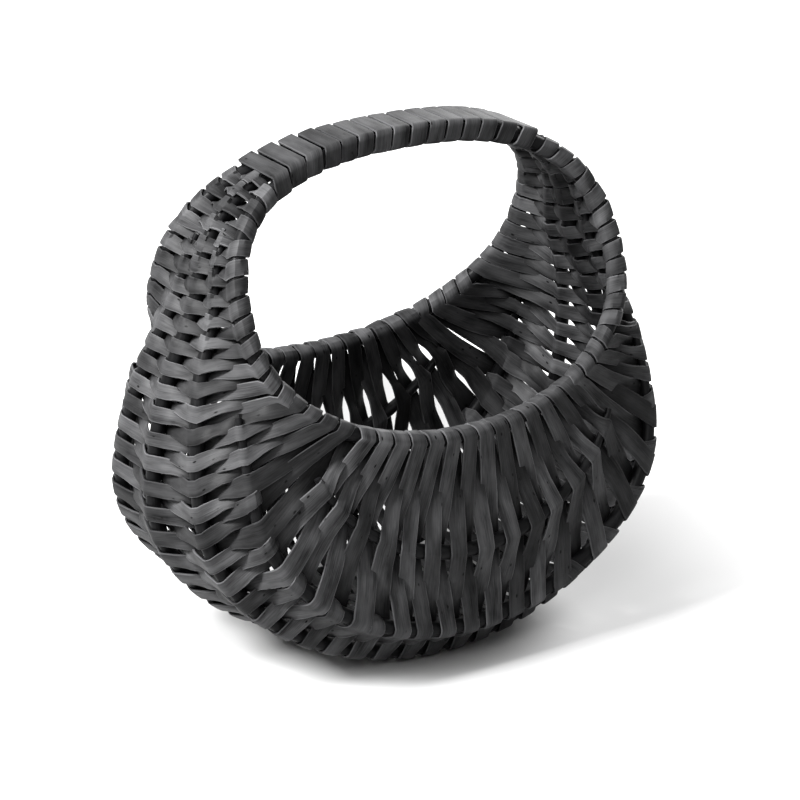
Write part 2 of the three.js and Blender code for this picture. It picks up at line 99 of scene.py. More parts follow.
@dataclass(frozen=True)
class BasketForm:
    """The basket's shape in millimetres, in the same sizes as its solids.

    A place on the woven body has a station, which turns about the weave's centre in the XZ plane, and a
    share across, from -1 at the front rim through 0 at the keel to 1 at the back rim.
    """

    rod_radius: float = 3.3
    hoop_half_length: float = 93
    hoop_half_height: float = 64
    hoop_lean: float = math.radians(24.6)
    hoop_upper_exponent: float = 2.5
    hoop_lower_exponent: float = 2.1
    handle_height: float = 223
    handle_rod_gap: float = 1.6
    keel_overhang: float = 24.6
    keel_top_drop: float = 7
    keel_widest_height: float = 83
    keel_sag_height: float = 0.5
    keel_upper_exponent: float = 2
    keel_lower_exponent: float = 1.9
    keel_blend: float = 2.5
    floor_blend: float = 0.8
    side_bulge: float = 15
    end_exponent: float = 2.2
    bottom_exponent: float = 4.2
    weave_centre_drop: float = 25.2
    weave_start_angle: float = math.radians(49)
    rib_floor_height: float = 4.2
    bisection_steps: int = 40

    @property
    def projected_half_height(self) -> float:
        """The hoop's half height seen from the front."""
        return self.hoop_half_height * math.cos(self.hoop_lean)

    @property
    def hoop_centre_height(self) -> float:
        """Height of the middle of the hoops."""
        return self.handle_height - self.projected_half_height

    @property
    def weave_centre_height(self) -> float:
        """Height of the line that the stations turn about."""
        return self.hoop_centre_height - self.weave_centre_drop

    @property
    def handle_half_spread(self) -> float:
        """Half the distance between the hoop rods in the handle."""
        return 2 * self.rod_radius + self.handle_rod_gap

    @property
    def keel_half_length(self) -> float:
        """Half the length of the keel rib's outline."""
        return self.hoop_half_length + self.keel_overhang

    @property
    def start_station(self) -> float:
        """Station of the weave's left end."""
        return math.pi - self.weave_start_angle

    @property
    def end_station(self) -> float:
        """Station of the weave's right end."""
        return 2 * math.pi + self.weave_start_angle

    def inside_hoop(self, x: np.ndarray, z: np.ndarray) -> np.ndarray:
        """Say which places lie inside the hoops, seen from the front.

        Args:
            x: Places along the handle.
            z: Their heights.

        Returns:
            True for each place inside.
        """
        rise = z - self.hoop_centre_height
        exponent = np.where(rise > 0, self.hoop_upper_exponent, self.hoop_lower_exponent)
        upward = np.abs(rise / self.projected_half_height) ** exponent
        return np.abs(x / self.hoop_half_length) ** exponent + upward < 1

    def inside_keel(self, x: np.ndarray, z: np.ndarray) -> np.ndarray:
        """Say which places lie inside the keel's outline, seen from the front.

        Args:
            x: Places along the handle.
            z: Their heights.

        Returns:
            True for each place inside.
        """
        rise = z - self.keel_widest_height
        upper = self.handle_height - self.keel_top_drop - self.keel_widest_height
        lower = self.keel_widest_height - self.keel_sag_height
        half_height = np.where(rise > 0, upper, lower)
        exponent = np.where(rise > 0, self.keel_upper_exponent, self.keel_lower_exponent)
        return np.abs(x / self.keel_half_length) ** exponent + np.abs(rise / half_height) ** exponent < 1

    def reach(self, is_hoop: bool, stations: np.ndarray) -> np.ndarray:
        """Find the distance from the weave's centre to an outline by halving.

        Args:
            is_hoop: True for the hoops' outline, False for the keel's.
            stations: Angles about the weave's centre.

        Returns:
            The distance at each station.
        """
        inside = self.inside_hoop if is_hoop else self.inside_keel
        near = np.zeros_like(stations)
        far = np.full_like(stations, self.keel_half_length + self.handle_height)
        for _ in range(self.bisection_steps):
            middle = (near + far) / 2
            height = self.weave_centre_height + middle * np.sin(stations)
            is_inside = inside(middle * np.cos(stations), height)
            near = np.where(is_inside, middle, near)
            far = np.where(is_inside, far, middle)
        return near

    def body_points(self, stations: np.ndarray, across: float) -> np.ndarray:
        """Find points of the body's mid surface along one line.

        Args:
            stations: Angles about the weave's centre.
            across: Share across the body, the same all along the line.

        Returns:
            One point for each station.
        """
        hoop_reach = self.reach(True, stations)
        depth = smooth_positive(self.reach(False, stations) - hoop_reach, self.keel_blend)
        downward = np.maximum(0, -np.sin(stations))
        exponent = self.end_exponent + (self.bottom_exponent - self.end_exponent) * downward
        angle = abs(across) * math.pi / 2
        sideways = math.sin(angle) ** (2 / exponent)
        outward = max(0.0, math.cos(angle)) ** (2 / exponent)
        hoop_rise = self.handle_height - self.weave_centre_height - hoop_reach * np.sin(stations)
        hoop_spread = self.handle_half_spread + hoop_rise * math.tan(self.hoop_lean)
        fullness = 4 * abs(across) * (1 - abs(across))
        bulge = self.side_bulge * (depth / self.keel_half_length) ** 2 * fullness
        distance = hoop_reach + depth * outward
        height = self.weave_centre_height + distance * np.sin(stations)
        above = smooth_positive(height - self.rib_floor_height, self.floor_blend)
        return np.stack(
            [
                distance * np.cos(stations),
                np.sign(across) * sideways * (hoop_spread + bulge),
                self.rib_floor_height + above,
            ],
            axis=-1,
        )

    def hoop_points(self, angles: np.ndarray, side: int) -> np.ndarray:
        """Find points of a hoop's centre line.

        Args:
            angles: Angles round the hoop, zero at the right end of the basket.
            side: -1 for the front hoop, 1 for the back one.

        Returns:
            One point for each angle.
        """
        sine = np.sin(angles)
        power = 2 / np.where(sine > 0, self.hoop_upper_exponent, self.hoop_lower_exponent)
        drop = self.hoop_half_height - self.hoop_half_height * signed_power(sine, power)
        return np.stack(
            [
                self.hoop_half_length * signed_power(np.cos(angles), power),
                side * (self.handle_half_spread + drop * math.sin(self.hoop_lean)),
                self.handle_height - drop * math.cos(self.hoop_lean),
            ],
            axis=-1,
        )


@dataclass
class BodyLine:
    """One line of the body at a share across it, measured from the left end of the weave."""

    form: BasketForm
    across: float
    steps: int = 960
    tangent_share: float = 0.004

    def __post_init__(self) -> None:
        """Lay out the line's points and measure it."""
        self.stations = np.linspace(self.form.start_station, self.form.end_station, self.steps + 1)
        self.points = self.form.body_points(self.stations, self.across)
        self.lengths = run_lengths(self.points)
        self.length = float(self.lengths[-1])

    def point(self, share: float) -> np.ndarray:
        """Find the point at a share of the line's length."""
        target = np.clip(share, 0, 1) * self.length
        return np.array([np.interp(target, self.lengths, self.points[:, axis]) for axis in range(3)])

    def station(self, share: float) -> float:
        """Find the station at a share of the line's length."""
        return float(np.interp(share * self.length, self.lengths, self.stations))

    def share_at(self, station: float) -> float:
        """Find the share of the line's length at a station."""
        return float(np.interp(station, self.stations, self.lengths)) / self.length

    def tangent(self, share: float) -> np.ndarray:
        """Find the line's direction at a share of its length."""
        before = np.clip(share - self.tangent_share, 0, 1 - 2 * self.tangent_share)
        return unit(self.point(before + 2 * self.tangent_share) - self.point(before))


@dataclass
class Stop:
    """A place on a skein's route.

    Attributes:
        place: The skein's middle in millimetres.
        across: The way its width points.
        outward: The way out of the basket there.
        width: Its width in millimetres.
        tilt: How far its outer face leans over, in radians.
        tone: How well it took the dye, with 1 for plain.
        lying: 1 where it lies on the outside of the body, -1 on the inside, and between them in passing.
    """

    place: np.ndarray
    across: np.ndarray
    outward: np.ndarray
    width: float
    tilt: float = 0.0
    tone: float = 1.0
    lying: float = 0.0


def mesh_object(
    name: str, rings: np.ndarray, uvs: np.ndarray, looks: dict[str, np.ndarray], is_closed: bool
) -> bpy.types.Object:
    """Make an object of rings of points joined into one skin.

    Args:
        name: The object's name.
        rings: Points in millimetres, ring by ring. None of them is let through the table.
        uvs: Texture places in metres, with one column more than the rings have points.
        looks: For each point, how far its colour is lightened, from 0 to 1, by dye rubbed off it and by a
            painted highlight on bends, and its tone, which is how well the strip took the dye, with 1 for
            plain, darkened by painted shade.
        is_closed: True where the last ring joins the first.

    Returns:
        The object, linked to the scene.
    """
    rings[..., 2] = np.maximum(rings[..., 2], 0)
    count, sides = rings.shape[:2]
    vertices = (rings.reshape(-1, 3) * MILLIMETRE).tolist()
    joins = count if is_closed else count - 1
    faces = []
    corners = []
    for ring in range(joins):
        here = ring * sides
        after = (ring + 1) % count * sides
        for side in range(sides):
            turn = (side + 1) % sides
            faces.append((here + side, after + side, after + turn, here + turn))
            corners += [uvs[ring, side], uvs[ring + 1, side], uvs[ring + 1, side + 1], uvs[ring, side + 1]]
    if not is_closed:
        last = (count - 1) * sides
        faces.append(tuple(range(sides)))
        corners += [uvs[0, side] for side in range(sides)]
        faces.append(tuple(last + side for side in reversed(range(sides))))
        corners += [uvs[count - 1, side] for side in reversed(range(sides))]
    mesh = bpy.data.meshes.new(name)
    mesh.from_pydata(vertices, [], faces)
    layer = mesh.uv_layers.new(name=UV_MAP)
    layer.data.foreach_set("uv", np.array(corners, dtype=np.float32).ravel())
    for look, amounts in looks.items():
        attribute = mesh.attributes.new(look, "FLOAT", "POINT")
        attribute.data.foreach_set("value", amounts.astype(np.float32).ravel())
    mesh.polygons.foreach_set("use_smooth", [True] * len(faces))
    mesh.set_sharp_from_angle(angle=SHARP_FROM)
    mesh.update()
    piece = bpy.data.objects.new(name, mesh)
    bpy.context.scene.collection.objects.link(piece)
    return piece


@dataclass(frozen=True)
class StripSection:
    """Section of a split skein, nearly flat with softly broken edges, where its dye wears, and where a
    highlight and shade are painted on it.

    The outline's places are shares of half the width and half the thickness. A painted highlight on a bend
    starts from least_bend on and is strongest at bend_range beyond it.
    """

    outline: tuple[tuple[float, float], ...] = (
        (-1.0, -0.55),
        (-1.0, 0.55),
        (-0.96, 0.85),
        (-0.87, 0.98),
        (-0.4, 1.16),
        (0.4, 1.16),
        (0.87, 0.98),
        (0.96, 0.85),
        (1.0, 0.55),
        (1.0, -0.55),
        (0.96, -0.85),
        (0.87, -0.98),
        (0.4, -1.1),
        (-0.4, -1.1),
        (-0.87, -0.98),
        (-0.96, -0.85),
    )
    edge_from: float = 0.94
    edge_wear: float = 0.7
    # A painted highlight on the crests of sharp bends
    crest_highlight: float = 0.3
    least_bend: float = math.radians(7)
    bend_range: float = math.radians(32)
    # Painted shade: on the face that turns to the rod or the neighbouring strips, and on the width beyond
    # crown_share towards the edges
    painted_recess_shade: float = 0.75
    painted_edge_shade: float = 0.16
    crown_share: float = 0.4

    def wear_and_highlight(self, bends: np.ndarray) -> np.ndarray:
        """Find how much a strip's colour is lightened: most on the edges, where dye is rubbed off, and some
        on the crests of sharp bends, as a painted highlight.

        Args:
            bends: Angle by which the strip bends at each stop.

        Returns:
            The lightening at each stop and each place of the outline, from 0 to 1.
        """
        is_edge = np.abs(np.array(self.outline)[:, 0]) > self.edge_from
        # The crests of sharp bends get a painted highlight
        crest = np.clip((bends - self.least_bend) / self.bend_range, 0, 1)
        return np.clip(self.edge_wear * is_edge[None, :] + self.crest_highlight * crest[:, None], 0, 1)

    def tones(self, tones: np.ndarray, lying: np.ndarray) -> np.ndarray:
        """Paint shade on a strip: darker towards its edges, and on the face that turns to the rod or its
        neighbours.

        Args:
            tones: How well the strip took the dye at each stop.
            lying: For each stop, 1 where the section's upper face is the bare one and -1 where its lower
                face is.

        Returns:
            The tone with its painted shade at each stop and each place of the outline.
        """
        outline = np.array(self.outline)
        # Painted shade on the face turned inwards and towards the edges, over the dye's tone
        recess_shade = np.clip(-lying[:, None] * np.sign(outline[None, :, 1]), 0, 1)
        rise = (np.abs(outline[:, 0]) - self.crown_share) / (self.edge_from - self.crown_share)
        edge = np.clip(rise, 0, 1)[None, :]
        return tones[:, None] * (1 - self.painted_recess_shade * recess_shade) * (1 - self.painted_edge_shade * edge)

    def sweep(self, name: str, stops: list[Stop], thickness: float, offset: float) -> bpy.types.Object:
        """Sweep the section along a skein's route.

        Args:
            name: The object's name.
            stops: The route.
            thickness: The skein's thickness in millimetres.
            offset: Start of the texture along the skein, in metres, so that no two skeins look alike.

        Returns:
            The skein's object.
        """
        places = np.array([stop.place for stop in stops])
        across = np.array([stop.across for stop in stops])
        outward = np.array([stop.outward for stop in stops])
        tilts = np.array([stop.tilt for stop in stops])[:, None]
        widths = np.array([stop.width for stop in stops])
        ahead = np.vstack([places[1:], 2 * places[-1:] - places[-2:-1]]) - places
        behind = places - np.vstack([2 * places[:1] - places[1:2], places[:-1]])
        along = unit(unit(ahead) + unit(behind))
        face = unit(np.cross(along, across))
        side = np.sign((face * outward).sum(axis=1, keepdims=True))
        turned = unit(across * np.cos(tilts) + face * side * np.sin(tilts))
        face = unit(np.cross(along, turned))
        outline = np.array(self.outline)
        rings = places[:, None, :] + turned[:, None, :] * (outline[None, :, :1] * widths[:, None, None] / 2)
        rings = rings + face[:, None, :] * (outline[None, :, 1:] * thickness / 2)
        girth = run_lengths(np.vstack([outline, outline[:1]])) * widths.mean() / 2
        uvs = np.zeros((len(stops), len(girth), 2))
        uvs[..., 0] = run_lengths(places)[:, None] * MILLIMETRE + offset
        uvs[..., 1] = girth[None, :] * MILLIMETRE
        bends = np.arccos(np.clip((unit(ahead) * unit(behind)).sum(axis=1), -1, 1))
        tones = np.array([stop.tone for stop in stops])
        lying = np.array([stop.lying for stop in stops]) * side[:, 0]
        # Wear and a painted highlight lighten the colour, and painted shade darkens the tone
        looks = {"wear_and_highlight": self.wear_and_highlight(bends), "tone": self.tones(tones, lying)}
        return mesh_object(name, rings, uvs, looks, False)


@dataclass(frozen=True)
class RodSection:
    """Round section of a peeled rod, which swells and thins a little along its length.

    The swelling adds up waves, from first_wave to last_wave of them along the rod, each of them lower
    than the one before. Its sizes are shares of the radius.
    """

    sides: int = 16
    first_wave: int = 3
    last_wave: int = 15
    swelling: float = 0.012
    fading: float = 0.8
    allowance: float = 0.015
    deepest_dip: float = 0.03
    most_phase: float = 6

    def radii(self, radii: np.ndarray, lengths: np.ndarray, seed: int) -> np.ndarray:
        """Make a rod's radii uneven, without going past those of its solid.

        Args:
            radii: The even radii.
            lengths: How far along the rod each of them is.
            seed: Seed of the unevenness.

        Returns:
            The uneven radii.
        """
        random = np.random.default_rng(seed)
        waves = np.zeros(len(lengths))
        for order in range(self.first_wave, self.last_wave + 1):
            phase = 2 * math.pi * order * lengths / lengths[-1] + random.uniform(0, self.most_phase)
            waves = waves + self.swelling * math.pow(self.fading, order) * np.sin(phase)
        return radii * (1 - self.allowance + waves.clip(-self.deepest_dip, self.allowance))

    def sweep(
        self, name: str, places: np.ndarray, radii: np.ndarray, centre: float, is_closed: bool, seed: int
    ) -> bpy.types.Object:
        """Make a willow rod along points.

        Args:
            name: The object's name.
            places: The rod's middle line in millimetres.
            radii: The rod's radius at each place.
            centre: Height of the line that the section's first point turns away from.
            is_closed: True for a hoop.
            seed: Seed of its unevenness, and start of its texture in metres.

        Returns:
            The rod's object.
        """
        if is_closed:
            along = unit(np.roll(places, -1, axis=0) - np.roll(places, 1, axis=0))
        else:
            along = unit(np.gradient(places, axis=0))
        outward = places * np.array([1, 0, 1]) - np.array([0, 0, centre])
        outward = unit(outward - (outward * along).sum(axis=1, keepdims=True) * along)
        sideways = np.cross(along, outward)
        lengths = run_lengths(places)
        angles = 2 * math.pi * np.arange(self.sides) / self.sides
        size = self.radii(radii, lengths, seed)[:, None]
        rings = places[:, None, :] + outward[:, None, :] * (size * np.cos(angles))[..., None]
        rings = rings + sideways[:, None, :] * (size * np.sin(angles))[..., None]
        if is_closed:
            lengths = np.append(lengths, 2 * lengths[-1] - lengths[-2])
        girth = np.arange(self.sides + 1) * 2 * math.pi * radii.mean() / self.sides
        uvs = np.zeros((len(lengths), self.sides + 1, 2))
        uvs[..., 0] = lengths[:, None] * MILLIMETRE + seed
        uvs[..., 1] = girth[None, :] * MILLIMETRE
        looks = {"wear_and_highlight": np.zeros(rings.shape[:2]), "tone": np.ones(rings.shape[:2])}
        return mesh_object(name, rings, uvs, looks, is_closed)


def linear(hex_colour: str) -> tuple[float, float, float, float]:
    """Turn an sRGB hex colour into linear values.

    Args:
        hex_colour: Six hex digits.

    Returns:
        Red, green, blue and an alpha of one.
    """
    values = [int(hex_colour[place : place + 2], 16) / 255 for place in (0, 2, 4)]
    red, green, blue = [
        value / 12.92 if value <= 0.04045 else ((value + 0.055) / 1.055) ** 2.4 for value in values
    ]
    return (red, green, blue, 1.0)


def add_node(
    tree: bpy.types.NodeTree,
    kind: str,
    settings: dict[str, object] | None = None,
    values: dict[str | int, object] | None = None,
    links: dict[str | int, bpy.types.NodeSocket] | None = None,
) -> bpy.types.Node:
    """Add a node with its settings and links.

    Args:
        tree: The tree that takes it.
        kind: The node's type name.
        settings: Properties of the node.
        values: Values of its inputs by name or number.
        links: Outputs to link to its inputs by name or number.

    Returns:
        The node.
    """
    node = tree.nodes.new(kind)
    for key, value in (settings or {}).items():
        setattr(node, key, value)
    for key, value in (values or {}).items():
        node.inputs[key].default_value = value
    for key, socket in (links or {}).items():
        tree.links.new(socket, node.inputs[key])
    return node


def new_material(name: str) -> bpy.types.Material:
    """Make a material with an empty node tree.

    Args:
        name: Its name.

    Returns:
        The material.
    """
    material = bpy.data.materials.new(name)
    material.use_nodes = True
    material.node_tree.nodes.clear()
    return material


@dataclass(frozen=True)
class StainedWillow:
    """Basket willow dyed black, split or round.

    Dye soaks unevenly into the wood, so the black is patchy along the grain and thin on worn edges. The
    shaved or peeled surface is not varnished and keeps a low satin gloss that varies with the fibres.
    Where a field names two lengths, they are along and across the grain.
    """

    name: str
    dark: str
    pale: str
    # The grey of rubbed edges, also painted on the crests of bends as a highlight
    worn_and_highlight: str
    grain_millimetres: float
    roughness: float
    bump: float

    # Wood's usual index, with its reflection held down by the dull dye and varied by the fibres
    ior: float = 1.5
    gloss: float = 0.08
    roughness_below: float = 0.1
    roughness_above: float = 0.14

    # A fibre shows as a line some 33 times as long as it is wide, 13 mm on the split skeins
    grain_slenderness: float = 33
    grain_share: float = 0.6

    # Patches of thicker and thinner dye, and the span of their noise from dark to pale
    patch_millimetres: tuple[float, float] = (22, 6)
    patch_range: tuple[float, float] = (0.53, 1.0)

    # Pinholes, about one to a strip's width every 9 mm. Real ones are some 0.3 mm wide, too fine to
    # show, so they are drawn up to about 1 mm wide and twice as long
    pinhole_spacing: tuple[float, float] = (9, 4.5)
    pinhole_radii: tuple[float, float] = (0.05, 0.13)
    pinhole_colour: str = "050505"
    pinhole_depth_share: float = 0.6
    relief_millimetres: float = 0.12

    def pattern(
        self, tree: bpy.types.NodeTree, place: bpy.types.Node, length: float, girth: float
    ) -> bpy.types.NodeSocket:
        """Scale the texture's place so that one cell of a pattern has its real size.

        Args:
            tree: The material's tree.
            place: The node that gives the place along and round the strip, in metres.
            length: Length of one cell along the grain in millimetres.
            girth: Its width across the grain in millimetres.

        Returns:
            The scaled place.
        """
        scale = (1 / (length * MILLIMETRE), 1 / (girth * MILLIMETRE), 1)
        links = {"Vector": place.outputs["UV"]}
        return add_node(tree, "ShaderNodeMapping", {}, {"Scale": scale}, links).outputs["Vector"]

    def colour(
        self,
        tree: bpy.types.NodeTree,
        grain: bpy.types.NodeSocket,
        patch: bpy.types.NodeSocket,
        hole: bpy.types.NodeSocket,
    ) -> bpy.types.NodeSocket:
        """Colour the wood: patchy dye, rubbed where it wears and lightened by a painted highlight on bends,
        toned strip by strip and darkened by painted shade, black in pinholes.

        Args:
            tree: The material's tree.
            grain: Noise of the fibres.
            patch: Noise of the dye's patches.
            hole: 0 in a pinhole and 1 beside it.

        Returns:
            The colour.
        """
        mixed = add_node(
            tree,
            "ShaderNodeMath",
            {"operation": "MULTIPLY_ADD"},
            {1: self.grain_share},
            {0: grain, 2: patch},
        )
        ramp = add_node(tree, "ShaderNodeValToRGB", links={"Fac": mixed.outputs["Value"]})
        dyes = zip(ramp.color_ramp.elements, self.patch_range, (self.dark, self.pale))
        for element, position, colour in dyes:
            element.position = position
            element.color = linear(colour)
        # Rubbed edges and the painted highlight on bends lighten the colour
        wear_and_highlight = add_node(tree, "ShaderNodeAttribute", {"attribute_name": "wear_and_highlight"})
        rubbed_and_highlighted = add_node(
            tree, "ShaderNodeMath", {"operation": "MULTIPLY"}, links={0: wear_and_highlight.outputs["Fac"], 1: patch}
        )
        lightened = add_node(
            tree,
            "ShaderNodeMix",
            {"data_type": "RGBA"},
            {7: linear(self.worn_and_highlight)},
            {0: rubbed_and_highlighted.outputs["Value"], 6: ramp.outputs["Color"]},
        )
        # The tone holds the dye's unevenness and the painted shade
        tone = add_node(tree, "ShaderNodeAttribute", {"attribute_name": "tone"})
        toned_and_shaded = add_node(
            tree,
            "ShaderNodeVectorMath",
            {"operation": "SCALE"},
            links={0: lightened.outputs[2], "Scale": tone.outputs["Fac"]},
        )
        pierced = add_node(
            tree,
            "ShaderNodeMix",
            {"data_type": "RGBA"},
            {6: linear(self.pinhole_colour)},
            {0: hole, 7: toned_and_shaded.outputs["Vector"]},
        )
        return pierced.outputs[2]

    def material(self) -> bpy.types.Material:
        """Make the material.

        Returns:
            A material with grain along the strip, patchy dye and pinholes.
        """
        material = new_material(self.name)
        tree = material.node_tree
        place = add_node(tree, "ShaderNodeUVMap", {"uv_map": UV_MAP})
        fibre = self.grain_millimetres
        cell = self.pattern(tree, place, fibre * self.grain_slenderness, fibre)
        values = {"Scale": 1.0, "Detail": 4.0, "Roughness": 0.6}
        grain = add_node(tree, "ShaderNodeTexNoise", {}, values, {"Vector": cell}).outputs["Fac"]
        cell = self.pattern(tree, place, *self.patch_millimetres)
        values = {"Scale": 1.0, "Detail": 3.0}
        patch = add_node(tree, "ShaderNodeTexNoise", {}, values, {"Vector": cell}).outputs["Fac"]
        cell = self.pattern(tree, place, *self.pinhole_spacing)
        values = {"Scale": 1.0, "Randomness": 1.0}
        spot = add_node(tree, "ShaderNodeTexVoronoi", {}, values, {"Vector": cell}).outputs["Distance"]
        within, beside = self.pinhole_radii
        hole = add_node(
            tree,
            "ShaderNodeMapRange",
            {"interpolation_type": "SMOOTHSTEP"},
            {"From Min": within, "From Max": beside},
            {"Value": spot},
        ).outputs["Result"]
        relief = add_node(
            tree,
            "ShaderNodeMath",
            {"operation": "MULTIPLY_ADD"},
            {1: self.pinhole_depth_share},
            {0: hole, 2: grain},
        )
        bump = add_node(
            tree,
            "ShaderNodeBump",
            {},
            {"Strength": self.bump, "Distance": self.relief_millimetres * MILLIMETRE},
            {"Height": relief.outputs["Value"]},
        )
        smoothest = self.roughness - self.roughness_below
        dullest = self.roughness + self.roughness_above
        dullness = add_node(
            tree, "ShaderNodeMapRange", {}, {"To Min": smoothest, "To Max": dullest}, {"Value": grain}
        )
        shader = add_node(
            tree,
            "ShaderNodeBsdfPrincipled",
            {},
            {"IOR": self.ior, "Specular IOR Level": self.gloss},
            {
                "Base Color": self.colour(tree, grain, patch, hole),
                "Roughness": dullness.outputs["Result"],
                "Normal": bump.outputs["Normal"],
            },
        )
        add_node(tree, "ShaderNodeOutputMaterial", links={"Surface": shader.outputs["BSDF"]})
        return material


class Finishes:
    """The basket's finishes, each made once."""

    def __init__(self) -> None:
        """Make the materials."""
        # Split willow, shaved flat by hand and dyed black: open fibres that show as fine lines along the
        # strip, dye in cloudy patches, grey edges where it has rubbed off, and a dull satin face. The same
        # grey is painted on the crests of bends as a highlight. Real willow fibres are about 0.1 mm apart,
        # too fine to show, so they are drawn 0.4 mm apart
        self.skein = StainedWillow(
            name="stained_split_willow",
            dark="0c0c0d",
            pale="4c4c4d",
            worn_and_highlight="7c7c7e",
            grain_millimetres=0.4,
            roughness=0.42,
            bump=0.8,
        ).material()

        # Whole willow rods, peeled and dyed, with a closed, smoother and slightly shinier face. They are
        # coloured darker and more even than the split wood, partly as painted shade, since they lie in the
        # shade between the strips. Its fibres and ripples are drawn 0.6 mm apart, coarser than the real
        # ones, so that they show
        self.rod = StainedWillow(
            name="stained_peeled_willow_rod",
            dark="080809",
            pale="1c1c1d",
            worn_and_highlight="2c2c2d",
            grain_millimetres=0.6,
            roughness=0.36,
            bump=0.4,
        ).material()


def dress(piece: bpy.types.Object, material: bpy.types.Material, node: str) -> None:
    """Give a piece its material, hang it from the body and hide the solid that it stands for.

    Args:
        piece: The piece.
        material: Its finish.
        node: Name of the solid that it stands for.
    """
    piece.data.materials.append(material)
    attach(piece, BODY)
    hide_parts(node)
    LOG.info("%s: %d faces", piece.name, len(piece.data.polygons))


@dataclass
class Weave:
    """Plain weave of flat skeins over seven ribs, turned round a rim rod at the end of each pass.

    Where the rims bend, every second turn goes round a corner rib instead of the rim, and under the body
    the passes lie further apart than in the end panels. A turn is numbered like the pass before it. The
    lines are numbered from the front rim, 0, to the back rim. Lengths are in millimetres.
    """

    form: BasketForm
    section: StripSection = StripSection()

    # The ribs' places across the body, where along it each one starts, and their tips
    rib_shares: tuple[float, ...] = (-0.868, -0.569, -0.257, 0, 0.257, 0.569, 0.868)
    rib_start_shares: tuple[float, ...] = (0.315, 0.22, 0.07, 0, 0.07, 0.22, 0.315)
    rib_tip_radius: float = 1.4
    rib_taper_length: float = 60
    rib_tip_lead_passes: float = 0.3
    corner_line: int = 2

    # The rows of passes
    rim_pitch: float = 8.0
    panel_crowding: float = 0.22
    short_turns_per_corner: int = 5
    passes_per_short_turn: int = 4
    first_short_share: float = 0.275
    short_turn_pull: float = 0.36
    rim_rib_row: float = 0.5
    passes_per_skein: int = 4

    # The strips' widths, which grow up to a share where their neighbours leave them room
    skein_width: float = 6.8
    skein_thickness: float = 1.0
    seat_gap: float = 0.08
    full_pitch: float = 5.2
    widest: float = 1.12
    widest_at_corner: float = 1.4
    corner_gap: float = 0.6
    top_passes: int = 14
    top_widening: float = 0.22

    # How a strip narrows and leans halfway between two rods, where it passes its neighbours
    waist_share: float = 0.78
    waist_length: float = 5.5
    rim_waist_length: float = 8.5
    edge_room: float = 0.3
    overlap: float = 1.0
    full_leg: float = 15
    least_room_share: float = 0.3
    most_lean: float = math.radians(38)
    most_rim_lean: float = math.radians(52)
    swap_share: float = 0.5
    rim_swap_share: float = 0.7
    least_slant: float = 0.5
    steepest_span: float = 0.9
    least_bend: float = 0.02

    # The turns round the rims and corner ribs, squarer than a circle
    rim_squareness: float = 2.6
    turn_tilt: float = math.radians(10)

    # Unevenness, drawn once for each pass or each crossing
    seed: int = 7
    width_spread: float = 0.09
    place_spread: float = 0.32
    deviation: float = 0.6
    width_limits: tuple[float, float] = (-1.6, 1.3)
    lean_shares: tuple[float, float] = (0.75, 1.1)
    tone_spread: float = 0.12
    pass_tones: tuple[float, float] = (0.44, 1.4)

    # Steps of the route on a leg, over a rib and round a rim
    span_steps: int = 14
    arc_steps: int = 3
    turn_steps: int = 10

    def __post_init__(self) -> None:
        """Lay out the lines, count the passes, find the ribs that each one meets and draw its lay."""
        shares = (-1.0, *self.rib_shares, 1.0)
        self.lines = [BodyLine(self.form, share) for share in shares]
        self.last_line = len(shares) - 1
        self.keel = self.rib_shares.index(0) + 1
        self.rims = (0, self.last_line)
        self.corners = (self.corner_line, self.last_line - self.corner_line)
        rim_turns = int(self.lines[0].length / self.rim_pitch)
        self.pass_count = 2 * (rim_turns + 2 * self.short_turns_per_corner)
        self.first_short = 2 * math.floor(self.first_short_share * self.pass_count / 2 + 0.5) - 1
        self.meeting = [
            [number for number in range(self.pass_count) if self.meets(number, line)]
            for line in range(len(shares))
        ]
        self.first_passes = []
        for rib, share in enumerate(self.rib_start_shares):
            odd = 1 if rib + 1 < self.keel else 0
            self.first_passes.append(odd + 2 * math.floor((share * self.pass_count - odd) / 2 + 0.5))
        self.draw_unevenness()
        self.close_short_turns()

    def draw_unevenness(self) -> None:
        """Draw the widths, places, leans, tilts and tones of the passes at their crossings."""
        random = np.random.default_rng(self.seed)
        crossings = (self.pass_count + 2, self.last_line + 1)
        widths = random.normal(0, self.deviation, self.pass_count + 1).clip(*self.width_limits)
        self.pass_widths = 1 + self.width_spread * widths
        self.shifts = self.place_spread * random.normal(0, self.deviation, crossings)
        self.leans = random.uniform(*self.lean_shares, crossings)
        self.turn_tilts = random.uniform(-self.turn_tilt, self.turn_tilt, self.pass_count)
        self.tones = random.uniform(1 - self.tone_spread, 1 + self.tone_spread, crossings)
        self.tones *= random.uniform(*self.pass_tones, (self.pass_count + 2, 1))

    def close_short_turns(self) -> None:
        """Push the passes on either side of a short turn towards it, over its rod."""
        for turn in range(self.pass_count - 1):
            line = self.turn_line(turn)
            if line in self.corners:
                pull = self.short_turn_pull * self.rooms(self.meeting[line], line, turn).min()
                self.shifts[turn - 1, line] += pull
                self.shifts[turn + 2, line] -= pull

    def turn_line(self, turn: int) -> int:
        """Find the line of the rod that a turn goes round.

        Args:
            turn: The turn.

        Returns:
            A rim's line or, for a short turn, a corner rib's. Even turns are at the back.
        """
        is_back = turn % 2 == 0
        order = min(turn, self.pass_count - 2 - turn) - self.first_short - (1 if is_back else 0)
        is_on_step = order % self.passes_per_short_turn == 0
        is_near = 0 <= order < self.passes_per_short_turn * self.short_turns_per_corner
        inset = self.corner_line if is_near and is_on_step else 0
        return self.last_line - inset if is_back else inset

    def meets(self, number: int, line: int) -> bool:
        """Say whether a pass meets a line, across it or in a turn round it."""
        ends = (self.turn_line(number - 1), self.turn_line(number))
        return min(ends) <= line <= max(ends)

